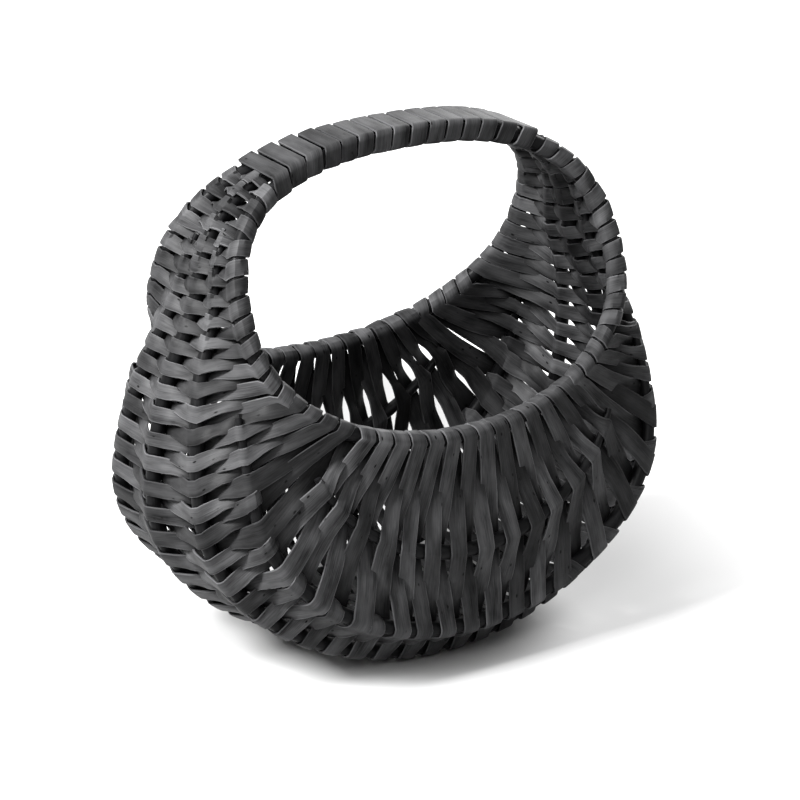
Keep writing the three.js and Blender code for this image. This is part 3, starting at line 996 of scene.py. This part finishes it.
    def share_on(self, line: int, moment: float) -> float:
        """Find where a pass crosses a line, as a share of the line's length.

        Args:
            line: The line, which the pass meets.
            moment: The pass, or a moment between two passes that meet the line.

        Returns:
            The share. A rim rib is crossed on a straight row from the rim to the corner rib.
        """
        from_rim = min(line, self.last_line - line)
        if from_rim == 1:
            is_front = line < self.keel
            ends = (self.rims[0], self.corners[0]) if is_front else (self.rims[1], self.corners[1])
            near, far = (self.lines[end].station(self.share_on(end, moment)) for end in ends)
            return self.lines[line].share_at(near + (far - near) * self.rim_rib_row)
        number = math.floor(moment)
        rank = bisect_left(self.meeting[line], number) + moment - number
        share = (rank + 0.5) / len(self.meeting[line])
        crowding = self.panel_crowding if from_rim >= self.corner_line else 0.0
        return share - crowding * math.sin(2 * math.pi * share) / (2 * math.pi)

    def rooms(self, row: list[int], line: int, number: int) -> np.ndarray:
        """Find the distances along a line from a pass to its neighbours.

        Args:
            row: The passes to look at, all of which meet the line.
            line: The line.
            number: The pass.

        Returns:
            The distances to the pass before it and the pass after it.
        """
        rank = bisect_left(row, number)
        beside = row[max(0, rank - 1) : rank] + row[rank + 1 : rank + 2]
        here = self.share_on(line, number)
        distances = [abs(self.share_on(line, other) - here) * self.lines[line].length for other in beside]
        return np.array([distances[0], distances[-1]])

    def width_on(self, line: int, number: int) -> float:
        """Find a skein's width on a line: it lies flatter and wider where its neighbours leave it room.

        Args:
            line: The line.
            number: The pass.

        Returns:
            The width, which also grows towards the ends of the weave, between the rims.
        """
        row = self.meeting[line]
        for corner, rim in zip(self.corners, self.rims):
            if line == corner and self.meets(number, rim):
                row = self.meeting[rim]
        rank = bisect_left(row, number)
        before = row[max(0, rank - 1)]
        after = row[min(len(row) - 1, rank + 1)]
        span = self.share_on(line, after) - self.share_on(line, before)
        room = self.lines[line].length * span / (after - before)
        if after - before > 2:
            room *= (after - before) / 2
        widest = min(self.widest_at_corner, max(self.widest, (room - self.corner_gap) / self.skein_width))
        fill = min(widest, max(1.0, room / self.full_pitch))
        from_end = min(number, self.pass_count - 1 - number)
        if 0 < line < self.last_line:
            fill += self.top_widening * max(0.0, 1 - from_end / self.top_passes)
        return self.skein_width * self.pass_widths[number] * fill

    def crossed(self, number: int) -> list[int]:
        """List the ribs that a pass crosses between its turns.

        Args:
            number: The pass.

        Returns:
            The ribs' lines, from the front to the back.
        """
        from_end = min(number, self.pass_count - 1 - number)
        low, high = sorted((self.turn_line(number - 1), self.turn_line(number)))
        begun = [rib + 1 for rib, first in enumerate(self.first_passes) if from_end >= first]
        return [line for line in begun if low < line < high]

    def face(self, line: int, number: int) -> Face:
        """Say on which face of the body a pass lies where it crosses a rib."""
        return Face.OUTSIDE if (line + number) % 2 == 0 else Face.INSIDE

    def rib_start(self, line: int) -> float:
        """Find where a line's rib begins.

        Args:
            line: The rib's line.

        Returns:
            The share of the line's length.
        """
        first = self.first_passes[line - 1]
        lead = self.rib_tip_lead_passes / self.pass_count
        return 0.0 if first == 0 else self.share_on(line, first) - lead

    def rod_radius(self, line: int, share: float) -> float:
        """Find the radius of the rod on a line, which thins towards a rib's tip.

        Args:
            line: The line.
            share: Share of the line's length.

        Returns:
            The radius. The hoops and the keel don't thin.
        """
        if line in (*self.rims, self.keel):
            return self.form.rod_radius
        from_tip = (min(share, 1 - share) - self.rib_start(line)) * self.lines[line].length
        part = min(1.0, max(0.0, from_tip / self.rib_taper_length))
        return self.rib_tip_radius + (self.form.rod_radius - self.rib_tip_radius) * part

    def place(self, line: int, moment: float) -> np.ndarray:
        """Find the middle of the rod where a pass crosses it."""
        return self.lines[line].point(self.share_on(line, moment))

    def rod_way(self, line: int, moment: float) -> np.ndarray:
        """Find the direction of the rod where a pass crosses it."""
        return self.lines[line].tangent(self.share_on(line, moment))

    def outward(self, moment: float, line: int, near: int, far: int) -> np.ndarray:
        """Find the direction out of the basket, square to a rod and to the row that crosses it.

        Args:
            moment: The pass that the row belongs to, or a moment between two passes.
            line: The rod's line.
            near: Line where the row starts.
            far: Line where it ends.

        Returns:
            The direction.
        """
        row = self.place(far, moment) - self.place(near, moment)
        normal = unit(np.cross(self.rod_way(line, moment), row))
        radial = self.place(line, moment) - np.array([0, 0, self.form.weave_centre_height])
        return -normal if normal @ radial < 0 else normal

    def seat(self, line: int, moment: float) -> float:
        """Find the distance from a rod's middle to the middle of the skein that lies on it."""
        radius = self.rod_radius(line, self.share_on(line, moment))
        return radius + self.skein_thickness / 2 + self.seat_gap

    def slant(self, across: np.ndarray, row: np.ndarray) -> float:
        """Find the share of a skein's width that is left square to its row where it lies askew."""
        return max(self.least_slant, math.sqrt(max(0.0, 1 - float(across @ row) ** 2)))

    def span(self, number: int, start: int, end: int, start_face: int) -> tuple[np.ndarray, np.ndarray]:
        """Find the straight run of a taut skein from one rod to the other side of the next.

        Args:
            number: The pass.
            start: Line of the rod that it leaves.
            end: Line of the rod that it reaches.
            start_face: 1 where it leaves from the outside, -1 from the inside.

        Returns:
            Directions from the two rods' middles to where the run touches them.
        """
        here = self.place(start, number)
        there = self.place(end, number)
        row = unit(there - here)
        normal = self.outward(number, start, start, end) + self.outward(number, end, start, end)
        normal = unit(normal - (normal @ row) * row) * start_face
        room = (self.seat(start, number) + self.seat(end, number)) / np.linalg.norm(there - here)
        slope = math.asin(min(self.steepest_span, room))
        touch = math.cos(slope) * normal + math.sin(slope) * row
        return touch, -touch

    def squeeze(
        self, number: int, ends: tuple[int, int], widths: tuple[float, float], length: float
    ) -> tuple[float, float, float]:
        """Find how a skein makes way for its neighbours where it trades faces with them.

        Args:
            number: The pass.
            ends: Lines of the rods at its two ends.
            widths: The skein's widths there.
            length: Length of the run between the rods.

        Returns:
            How far it is pushed along the rods into free space, how narrow it gets and how far it leans.
        """
        swap = self.swap_place(*ends)
        passes = min((self.meeting[end] for end in ends), key=len)
        rooms = mix(self.rooms(passes, ends[0], number), self.rooms(passes, ends[1], number), swap)
        width = mix(*widths, swap)
        push = max(0.0, min(width - rooms.min(), rooms.max() - width) / 2)
        pitch = rooms.min() + 2 * push
        shortness = min(1.0, length / self.full_leg)
        waist = max(width * self.waist_share, min(width, pitch + self.overlap))
        waist = width - (width - waist) * shortness
        room_share = max(self.least_room_share, (pitch - self.edge_room) / waist)
        most_lean = self.most_rim_lean if set(ends) & set(self.rims) else self.most_lean
        lean = min(math.acos(min(1.0, room_share)), most_lean)
        lean *= self.leans[number, min(ends)] * shortness
        return push if rooms[1] > rooms[0] else -push, waist, lean

    def leg(self, number: int, start: int, end: int, start_face: int) -> list[Stop]:
        """Lay a skein between two rods, turned partly on edge halfway so that its neighbours pass it.

        Args:
            number: The pass.
            start: Line of the rod that it leaves.
            end: Line of the rod that it reaches.
            start_face: 1 where it leaves from the outside, -1 from the inside.

        Returns:
            The stops between the rods, without those on the rods.
        """
        leave, arrive = self.span(number, start, end, start_face)
        first = self.place(start, number) + leave * self.seat(start, number)
        last = self.place(end, number) + arrive * self.seat(end, number)
        ways = (self.rod_way(start, number), self.rod_way(end, number))
        shifts = (self.shifts[number, start] * ways[0], self.shifts[number, end] * ways[1])
        outward = unit(leave * start_face - arrive * start_face)
        run = last - first
        length = float(np.linalg.norm(run))
        widths = (self.width_on(start, number), self.width_on(end, number))
        push, waist, lean = self.squeeze(number, (start, end), widths, length)
        depth = outward * (outward @ run)
        swap = self.swap_place(start, end)
        is_at_rim = start in self.rims or end in self.rims
        reach = (self.rim_waist_length if is_at_rim else self.waist_length) / length
        stops = []
        for step in range(1, self.span_steps):
            part = step / self.span_steps
            bump = math.exp(-(((part - swap) / reach) ** 2))
            sink = self.sink(part, swap)
            across = unit(mix(*ways, part))
            place = first + shifts[0] + (last + shifts[1] - first - shifts[0]) * part
            place = place + depth * (sink - part)
            place = place + across * push * math.sin(math.pi * part)
            width = mix(*widths, part)
            width = (width + (waist - width) * bump) / self.slant(across, unit(run))
            tone = mix(self.tones[number, start], self.tones[number, end], part)
            lying = start_face * (1 - 2 * sink)
            stops.append(Stop(place, across, outward, width, lean * bump, tone, lying))
        return stops

    def swap_place(self, start: int, end: int) -> float:
        """Find where along a leg a skein trades faces with its neighbours.

        Args:
            start: Line of the rod that it leaves.
            end: Line of the rod that it reaches.

        Returns:
            The share of the leg: the middle or, beside a rim, near the rib.
        """
        if start in self.rims:
            return self.rim_swap_share
        if end in self.rims:
            return 1 - self.rim_swap_share
        return self.swap_share

    def sink(self, part: float, swap: float) -> float:
        """Find how far a skein has gone from one face to the other.

        Args:
            part: Share of the leg.
            swap: Share at which it has gone half the way.

        Returns:
            0 at the start of the leg and 1 at its end.
        """
        if swap >= 0.5:
            return part ** (math.log(0.5) / math.log(swap))
        return 1 - (1 - part) ** (math.log(0.5) / math.log(1 - swap))

    def crossing(self, number: int, line: int, before: int, after: int) -> list[Stop]:
        """Bend a skein over or under a rib, from where it arrives to where it leaves.

        Args:
            number: The pass.
            line: The rib's line.
            before: Line of the rod that the skein comes from.
            after: Line of the rod that it goes to.

        Returns:
            The stops on the rib, or only one where the skein hardly bends.
        """
        face = self.face(line, number).value
        middle = self.place(line, number)
        way = self.rod_way(line, number)
        arrive = self.span(number, before, line, -face)[1]
        leave = self.span(number, line, after, face)[0]
        outward = self.outward(number, line, before, after)
        row = unit(self.place(after, number) - self.place(before, number))
        is_straight = (leave - arrive) @ row < self.least_bend
        if is_straight:
            arrive = leave = outward * face
        seat = self.seat(line, number)
        shift = self.shifts[number, line] * way
        width = self.width_on(line, number) / self.slant(way, row)
        stops = []
        for step in range(self.arc_steps + 1):
            place = middle + shift + unit(mix(arrive, leave, step / self.arc_steps)) * seat
            stops.append(Stop(place, way, outward, width, 0.0, self.tones[number, line], face))
        return stops[:1] if is_straight else stops

    def nearest(self, number: int, line: int) -> int:
        """Find the rib that a pass crosses nearest to the rod that it turns round."""
        crossed = self.crossed(number)
        return crossed[0] if line < self.keel else crossed[-1]

    def turn_face(self, number: int, line: int) -> int:
        """Say on which side of its turn's rod a pass lies, opposite to its side of the nearest rib."""
        return -self.face(self.nearest(number, line), number).value

    def away(self, line: int, nearest: int, moment: float) -> np.ndarray:
        """Find the direction away from the nearest rib, square to the rod that a turn goes round.

        Args:
            line: Line of the rod.
            nearest: Line of the rib.
            moment: The pass, or a moment between two passes.

        Returns:
            The direction.
        """
        way = self.rod_way(line, moment)
        away = self.place(line, moment) - self.place(nearest, moment)
        return unit(away - (away @ way) * way)

    def turn_angle(self, touch: np.ndarray, number: int, line: int, nearest: int, face: int) -> float:
        """Find the angle round a turn's rod at which a skein first or last touches it.

        Args:
            touch: Direction from the rod's middle to where the skein touches it.
            number: The pass.
            line: The rod's line.
            nearest: Line of the rib nearest to it.
            face: 1 where the skein comes from the outside, -1 from the inside.

        Returns:
            The angle, 0 on that face and pi / 2 at the rod's far side.
        """
        outward = self.outward(number, line, line, nearest)
        away = self.away(line, nearest, number)
        return math.atan2(float(touch @ away), float(touch @ outward) * face)

    def turn(self, number: int) -> list[Stop]:
        """Wind a skein round a rod, from the end of one pass to the start of the next.

        Args:
            number: The turn.

        Returns:
            The stops round the rod.
        """
        line = self.turn_line(number)
        nearest = self.nearest(number, line)
        next_nearest = self.nearest(number + 1, line)
        face = self.turn_face(number, line)
        arrive = self.span(number, nearest, line, -face)[1]
        leave = self.span(number + 1, line, next_nearest, -face)[0]
        start = self.turn_angle(arrive, number, line, nearest, face)
        end = math.pi - self.turn_angle(leave, number + 1, line, next_nearest, -face)
        power = self.rim_squareness
        stops = []
        for step in range(self.turn_steps + 1):
            part = step / self.turn_steps
            moment = number + part
            angle = start + (end - start) * part
            way = self.rod_way(line, moment)
            outward = self.outward(moment, line, line, nearest)
            square = abs(math.cos(angle)) ** power + abs(math.sin(angle)) ** power
            radius = self.seat(line, moment) / square ** (1 / power)
            ahead = face * math.cos(angle) * outward + math.sin(angle) * self.away(line, nearest, moment)
            shift = mix(self.shifts[number, line], self.shifts[number + 1, line], part)
            place = self.place(line, moment) + way * shift + radius * ahead
            width = mix(self.width_on(line, number), self.width_on(line, number + 1), part)
            tone = mix(self.tones[number, line], self.tones[number + 1, line], part)
            tilt = self.turn_tilts[number] * math.sin(math.pi * part)
            stops.append(Stop(place, way, outward, width, tilt, tone, face * math.cos(angle)))
        return stops

    def skeins(self) -> list[list[Stop]]:
        """Lay every pass and turn in one run, cut at the keel every few passes.

        Returns:
            The route of each skein.
        """
        runs: list[list[Stop]] = []
        current: list[Stop] = []
        for number in range(self.pass_count):
            ends = sorted((self.turn_line(number - 1), self.turn_line(number)))
            visited = [ends[0], *self.crossed(number), ends[1]]
            if number % 2:
                visited.reverse()
            is_last = number % self.passes_per_skein == self.passes_per_skein - 1
            is_join = is_last and number < self.pass_count - self.passes_per_skein
            faces = [self.turn_face(number, visited[0])]
            faces += [self.face(line, number).value for line in visited[1:-1]]
            for index in range(1, len(visited)):
                current += self.leg(number, visited[index - 1], visited[index], faces[index - 1])
                if index == len(visited) - 1:
                    continue
                bend = self.crossing(number, visited[index], visited[index - 1], visited[index + 1])
                if is_join and visited[index] == self.keel:
                    half = (len(bend) + 1) // 2
                    runs.append(current + bend[:half])
                    current = bend[half - 1 :]
                else:
                    current += bend
            if number < self.pass_count - 1:
                current += self.turn(number)
        runs.append(current)
        return runs

    def build(self, finishes: Finishes) -> None:
        """Build and dress every skein.

        Args:
            finishes: The basket's finishes.
        """
        for index, stops in enumerate(self.skeins()):
            name = f"skein_{index + 1:02d}"
            piece = self.section.sweep(f"{name}_strip", stops, self.skein_thickness, float(index))
            dress(piece, finishes.skein, name)


@dataclass
class RodFrame:
    """The two hoops and the seven ribs."""

    weave: Weave
    section: RodSection = RodSection()
    hoop_steps: int = 220
    rib_step: float = 2.5
    handle_steps: int = 40
    keel_end_gap: float = 2
    hoop_seed: int = 3
    rib_seed: int = 11
    names: tuple[str, ...] = (
        "front_rim_rib",
        "front_corner_rib",
        "front_floor_rib",
        "keel_rib",
        "back_floor_rib",
        "back_corner_rib",
        "back_rim_rib",
    )

    def build(self, finishes: Finishes) -> None:
        """Build and dress every rod.

        Args:
            finishes: The basket's finishes.
        """
        form = self.weave.form
        centre = form.weave_centre_height
        for side, name in ((-1, "front_hoop"), (1, "back_hoop")):
            angles = -2 * math.pi * (np.arange(self.hoop_steps) + 0.5) / self.hoop_steps
            places = form.hoop_points(angles, side)
            radii = np.full(len(places), form.rod_radius)
            piece = self.section.sweep(f"{name}_rod", places, radii, centre, True, self.hoop_seed + side)
            dress(piece, finishes.rod, name)
        for rib, name in enumerate(self.names):
            places, radii = self.rib(rib + 1)
            piece = self.section.sweep(f"{name}_rod", places, radii, centre, False, self.rib_seed + rib)
            dress(piece, finishes.rod, name)

    def rib(self, line: int) -> tuple[np.ndarray, np.ndarray]:
        """Lay out a rib.

        Args:
            line: The body line that it follows.

        Returns:
            Its middle line and its radius at each place.
        """
        body_line = self.weave.lines[line]
        first = self.weave.rib_start(line)
        count = int((1 - 2 * first) * body_line.length / self.rib_step)
        shares = np.linspace(first, 1 - first, count)
        places = np.array([body_line.point(share) for share in shares])
        radii = np.array([self.weave.rod_radius(line, share) for share in shares])
        if line != self.weave.keel:
            return places, radii
        form = self.weave.form
        left = self.handle_run(form.start_station)[::-1]
        right = self.handle_run(form.end_station - 2 * math.pi)
        places = np.vstack([left, places, right])
        return places, np.full(len(places), form.rod_radius)

    def handle_run(self, edge: float) -> np.ndarray:
        """Lay out the keel's run between the hoops, inside the handle, up to near its middle.

        Args:
            edge: Station at which the weave ends and the run starts.

        Returns:
            The run's points.
        """
        stations = np.linspace(edge, math.pi / 2, self.handle_steps)[1:]
        places = self.weave.form.body_points(stations, 0)
        return places[np.abs(places[:, 0]) >= self.keel_end_gap / 2]


@dataclass
class Handle:
    """The handle's binding: flat skeins wound square round the three rods, turn beside turn."""

    form: BasketForm
    section: StripSection = StripSection()
    end_reach: float = 1.5
    turn_pitch: float = 8.2
    width: float = 7.9
    thickness: float = 1.0
    seat_gap: float = 0.15
    join_share: float = 0.58
    corner: float = 2.3
    steps_a_side: int = 5
    middle_rod_rise: float = 1.1
    direction_step: float = 0.01
    texture_offset: float = 40.0

    # Most of a turn's advance is made under the bar, and it is shared out as on a small square bar
    hidden_advance: float = 1.0
    shown_advance: float = 0.3
    flat_tolerance: float = 1e-6
    sample_straight: float = 1.0

    # Unevenness, drawn once for each turn
    seed: int = 21
    shift_deviation: float = 0.45
    most_lift: float = 0.3
    lift_to_side: float = 0.6
    tone_range: tuple[float, float] = (0.5, 1.35)
    width_range: tuple[float, float] = (0.9, 1.03)
    tilt: float = math.radians(4)
    tilt_range: tuple[float, float] = (-0.6, 1.4)

    def __post_init__(self) -> None:
        """Work out the binding's length and draw each turn's unevenness."""
        start = self.form.reach(True, np.array([self.form.weave_start_angle]))[0]
        self.half_length = start * math.cos(self.form.weave_start_angle) + self.end_reach
        self.turns = int(2 * self.half_length / self.turn_pitch)
        draws = self.turns + 3
        random = np.random.default_rng(self.seed)
        self.shifts = random.normal(0, self.shift_deviation, draws)
        self.lifts = random.uniform(0, self.most_lift, draws)
        self.tones = random.uniform(*self.tone_range, draws)
        self.widths = self.width * random.uniform(*self.width_range, draws)
        self.tilts = self.tilt * random.uniform(*self.tilt_range, draws)

    def bar_section(self, half_width: float, half_height: float) -> tuple[np.ndarray, np.ndarray]:
        """Lay out one turn round the bar, from the middle of its underside.

        Args:
            half_width: Half the bar's width.
            half_height: Half its height.

        Returns:
            Offsets sideways and up, and each place's share of the turn's advance.
        """
        inset_y = half_width - self.corner
        inset_z = half_height - self.corner
        corners = (
            (-inset_y, -inset_z, 1.5),
            (-inset_y, inset_z, 1.0),
            (inset_y, inset_z, 0.5),
            (inset_y, -inset_z, 0.0),
        )
        middle = (0.0, -half_height)
        places = [middle]
        for centre_y, centre_z, start in corners:
            for step in range(self.steps_a_side + 1):
                angle = math.pi * (start - 0.5 * step / self.steps_a_side)
                y = centre_y + self.corner * math.cos(angle)
                places.append((y, centre_z + self.corner * math.sin(angle)))
        outline = np.array([*places, middle])
        is_under = np.abs(outline[:, 1] + half_height) < self.flat_tolerance
        steps = np.linalg.norm(np.diff(outline, axis=0), axis=1)
        weights = steps * np.where(is_under[1:] & is_under[:-1], self.hidden_advance, self.shown_advance)
        return outline, np.concatenate([[0.0], np.cumsum(weights) / weights.sum()])

    def bar_frame(self, x: float) -> tuple[np.ndarray, np.ndarray, np.ndarray]:
        """Find the back hoop's rod at a place along the handle.

        Args:
            x: The place.

        Returns:
            The rod's middle, the bar's direction and its up.
        """
        power = self.form.hoop_upper_exponent / 2
        angle = math.acos(float(signed_power(np.array(x / self.form.hoop_half_length), power)))
        rod, ahead = self.form.hoop_points(np.array([angle, angle - self.direction_step]), 1)
        along = unit((ahead - rod) * np.array([1, 0, 1]))
        return rod, along, np.array([-along[2], 0, along[0]])

    def route(self, first_turn: int, last_turn: int) -> list[Stop]:
        """Wind the binding over some of its turns.

        Args:
            first_turn: The first turn.
            last_turn: The turn after the last.

        Returns:
            The binding's stops.
        """
        stops = []
        sample_half = self.sample_straight + self.corner
        _, shares = self.bar_section(sample_half, sample_half)
        for turn in range(first_turn, last_turn):
            for index, share in enumerate(shares[:-1]):
                x = -self.half_length + 2 * self.half_length * (turn + share) / self.turns
                rod, along, up = self.bar_frame(x)
                lift, shift, tone, tilt, width = (
                    mix(drawn[turn], drawn[turn + 1], share)
                    for drawn in (self.lifts, self.shifts, self.tones, self.tilts, self.widths)
                )
                spread = rod[1] + self.form.rod_radius + self.thickness / 2 + self.seat_gap
                rise = self.form.rod_radius + (self.thickness + self.middle_rod_rise) / 2 + self.seat_gap
                outline, _ = self.bar_section(spread + lift * self.lift_to_side, rise + lift / 2)
                sideways, height = outline[index]
                height += (self.middle_rod_rise + lift) / 2
                around = up * height + np.array([0, sideways, 0])
                place = np.array([rod[0], 0, rod[2]]) + along * shift + around
                stops.append(Stop(place, along, unit(around), width, tilt, tone))
        return stops

    def build(self, finishes: Finishes) -> None:
        """Build and dress the two bindings.

        Args:
            finishes: The basket's finishes.
        """
        join = round(self.turns * self.join_share)
        bindings = (("handle_binding_left", 0, join), ("handle_binding_right", join, self.turns))
        for name, first, last in bindings:
            stops = self.route(first, last)
            offset = self.texture_offset + first
            piece = self.section.sweep(f"{name}_skein", stops, self.thickness, offset)
            dress(piece, finishes.skein, name)


@dataclass(frozen=True)
class Lamp:
    """A square soft lamp, with its place and side in metres and its power in watts."""

    name: str
    place: tuple[float, float, float]
    side: float
    power: float


@dataclass(frozen=True)
class Oval:
    """An oval of the floor, in metres, outside of which the floor glows to the camera. Where the glow is
    held back the floor's grey shows, so an oval can paint a shadow.

    Attributes:
        middle: Its middle.
        reach: Its half lengths along the view and across it.
        start: Share of its reach at which the glow starts to rise.
    """

    middle: tuple[float, float]
    reach: tuple[float, float]
    start: float


@dataclass
class Studio:
    """A white table, soft lamps and the camera of the photograph."""

    # The camera, in millimetres and the photograph's pixels
    azimuth: float = math.radians(-33.126)
    elevation: float = math.radians(20.663)
    distance: float = 1442.5
    target: tuple[float, float, float] = (5.5, 0, 101.33)
    focal_pixels: float = 3312.8
    image_pixels: float = 800
    sensor: float = 36

    # A strong lamp at the left gives the light and weaker ones fill it in
    lamps: tuple[Lamp, ...] = (
        Lamp("left_lamp", (-1.15, 0.05, 1.1), 0.45, 54),
        Lamp("top_lamp", (-0.3, 0.4, 1.5), 0.9, 9),
        Lamp("front_lamp", (-1.0, -1.3, 1.3), 0.6, 12),
        Lamp("back_lamp", (1.35, 0.9, 0.8), 1.2, 16),
    )
    sky_strength: float = 0.05
    floor_half: float = 3.0
    # The floor's own grey, which shows as a painted shadow where the glow is held back
    floor_colour: str = "bcbcbc"
    white: str = "ffffff"

    # The glow that lifts the floor to white round the basket and further out. It is held back under the
    # basket and in an oval behind it, where the floor's grey is a painted shadow, and only partly given
    # inside the far oval, where the lamps' shadow shows
    near_glow: float = 0.5
    far_glow: float = 0.6
    painted_contact_shadow_oval: Oval = Oval((-0.012, -0.002), (0.076, 0.1), 0.6)
    painted_shadow_oval: Oval = Oval((0.09, 0.14), (0.19, 0.1), 0.7)
    far_oval: Oval = Oval((0.05, 0.03), (0.28, 0.23), 0.35)

    def aim(self, thing: bpy.types.Object, direction: Vector) -> None:
        """Turn a camera or lamp to look in a direction and link it to the scene.

        Args:
            thing: The camera or lamp.
            direction: Where it looks.
        """
        thing.rotation_mode = "QUATERNION"
        thing.rotation_quaternion = direction.to_track_quat("-Z", "Y")
        bpy.context.scene.collection.objects.link(thing)

    def camera(self) -> None:
        """Make the camera and look through it."""
        data = bpy.data.cameras.new("camera")
        data.sensor_width = self.sensor
        data.lens = self.sensor * self.focal_pixels / self.image_pixels
        camera = bpy.data.objects.new("camera", data)
        level = math.cos(self.elevation)
        level_back = (math.sin(self.azimuth) * level, -math.cos(self.azimuth) * level)
        back = Vector((*level_back, math.sin(self.elevation)))
        camera.location = (Vector(self.target) + back * self.distance) * MILLIMETRE
        self.aim(camera, -back)
        bpy.context.scene.camera = camera

    def lamp(self, lamp: Lamp) -> None:
        """Add a lamp that points at the basket.

        Args:
            lamp: The lamp.
        """
        data = bpy.data.lights.new(lamp.name, "AREA")
        data.size = lamp.side
        data.energy = lamp.power
        light = bpy.data.objects.new(lamp.name, data)
        light.location = lamp.place
        self.aim(light, Vector(self.target) * MILLIMETRE - Vector(lamp.place))

    def world(self) -> None:
        """Light the scene evenly and show white behind it."""
        world = bpy.data.worlds.new("studio")
        world.use_nodes = True
        tree = world.node_tree
        tree.nodes.clear()
        rays = add_node(tree, "ShaderNodeLightPath").outputs
        is_white = rays["Is Camera Ray"]
        for ray in ("Is Transmission Ray", "Is Glossy Ray"):
            links = {0: is_white, 1: rays[ray]}
            either = add_node(tree, "ShaderNodeMath", {"operation": "MAXIMUM"}, {}, links)
            is_white = either.outputs["Value"]
        strengths = {"To Min": self.sky_strength, "To Max": 1.0}
        strength = add_node(tree, "ShaderNodeMapRange", {}, strengths, {"Value": is_white})
        links = {"Strength": strength.outputs["Result"]}
        light = add_node(tree, "ShaderNodeBackground", {}, {"Color": linear(self.white)}, links)
        add_node(tree, "ShaderNodeOutputWorld", links={"Surface": light.outputs["Background"]})
        bpy.context.scene.world = world

    def fade(self, tree: bpy.types.NodeTree, oval: Oval) -> bpy.types.NodeSocket:
        """Make a value that is 0 in the middle of an oval of the floor and 1 outside it.

        Args:
            tree: The floor's nodes.
            oval: The oval.

        Returns:
            The socket that gives the value.
        """
        place = add_node(tree, "ShaderNodeNewGeometry")
        shape = {
            "Location": (*oval.middle, 0),
            "Rotation": (0, 0, math.pi / 2 + self.azimuth),
            "Scale": (*oval.reach, 1),
        }
        links = {"Vector": place.outputs["Position"]}
        inside = add_node(tree, "ShaderNodeMapping", {"vector_type": "TEXTURE"}, shape, links)
        links = {0: inside.outputs["Vector"]}
        distance = add_node(tree, "ShaderNodeVectorMath", {"operation": "LENGTH"}, {}, links)
        rising = add_node(
            tree,
            "ShaderNodeMapRange",
            {"interpolation_type": "SMOOTHSTEP"},
            {"From Min": oval.start, "From Max": 1.0},
            {"Value": distance.outputs["Value"]},
        )
        return rising.outputs["Result"]

    def floor_material(self) -> bpy.types.Material:
        """Make the floor's material, which glows white to the camera away from the basket and lets its grey
        show as a painted shadow under the basket and behind it.

        Returns:
            The material.
        """
        # Board painted matt white, for a table top: the paint scatters light evenly, has no gloss and takes
        # a soft shadow. It is too even to show a pattern. Its colour is set to a grey, which a glow lifts
        # to white for the camera; where the glow is held back, under and behind the basket, the grey is a
        # painted shadow
        material = new_material("matt_white_painted_board")
        tree = material.node_tree
        diffuse = add_node(tree, "ShaderNodeBsdfDiffuse", {}, {"Color": linear(self.floor_colour)})
        near = self.fade(tree, self.painted_contact_shadow_oval)
        shadow = self.fade(tree, self.painted_shadow_oval)
        far = self.fade(tree, self.far_oval)
        glow = add_node(tree, "ShaderNodeMath", {"operation": "MULTIPLY"}, {1: self.near_glow}, {0: near})
        links = {0: far, 2: glow.outputs["Value"]}
        glow = add_node(tree, "ShaderNodeMath", {"operation": "MULTIPLY_ADD"}, {1: self.far_glow}, links)
        for limit in (shadow, add_node(tree, "ShaderNodeLightPath").outputs["Is Camera Ray"]):
            links = {0: glow.outputs["Value"], 1: limit}
            glow = add_node(tree, "ShaderNodeMath", {"operation": "MULTIPLY"}, {}, links)
        links = {"Strength": glow.outputs["Value"]}
        light = add_node(tree, "ShaderNodeEmission", {}, {"Color": linear(self.white)}, links)
        links = {0: diffuse.outputs["BSDF"], 1: light.outputs["Emission"]}
        both = add_node(tree, "ShaderNodeAddShader", links=links)
        add_node(tree, "ShaderNodeOutputMaterial", links={"Surface": both.outputs["Shader"]})
        return material

    def floor(self) -> None:
        """Lay a white floor that keeps the basket's shadow and a painted shadow under and behind it."""
        half = self.floor_half
        corners = [(-half, -half, 0), (half, -half, 0), (half, half, 0), (-half, half, 0)]
        mesh = bpy.data.meshes.new("floor")
        mesh.from_pydata(corners, [], [(0, 1, 2, 3)])
        floor = bpy.data.objects.new("floor", mesh)
        bpy.context.scene.collection.objects.link(floor)
        floor.data.materials.append(self.floor_material())

    def build(self) -> None:
        """Set up the camera, the lamps, the world and the floor."""
        self.camera()
        for lamp in self.lamps:
            self.lamp(lamp)
        self.world()
        self.floor()
        bpy.context.scene.view_settings.view_transform = "Standard"


def main() -> None:
    """Build the studio and the basket."""
    logging.basicConfig(level=logging.INFO, format="%(name)s: %(message)s")
    Studio().build()
    finishes = Finishes()
    weave = Weave(BasketForm())
    RodFrame(weave).build(finishes)
    weave.build(finishes)
    Handle(weave.form).build(finishes)


if __name__ == "__main__":
    main()
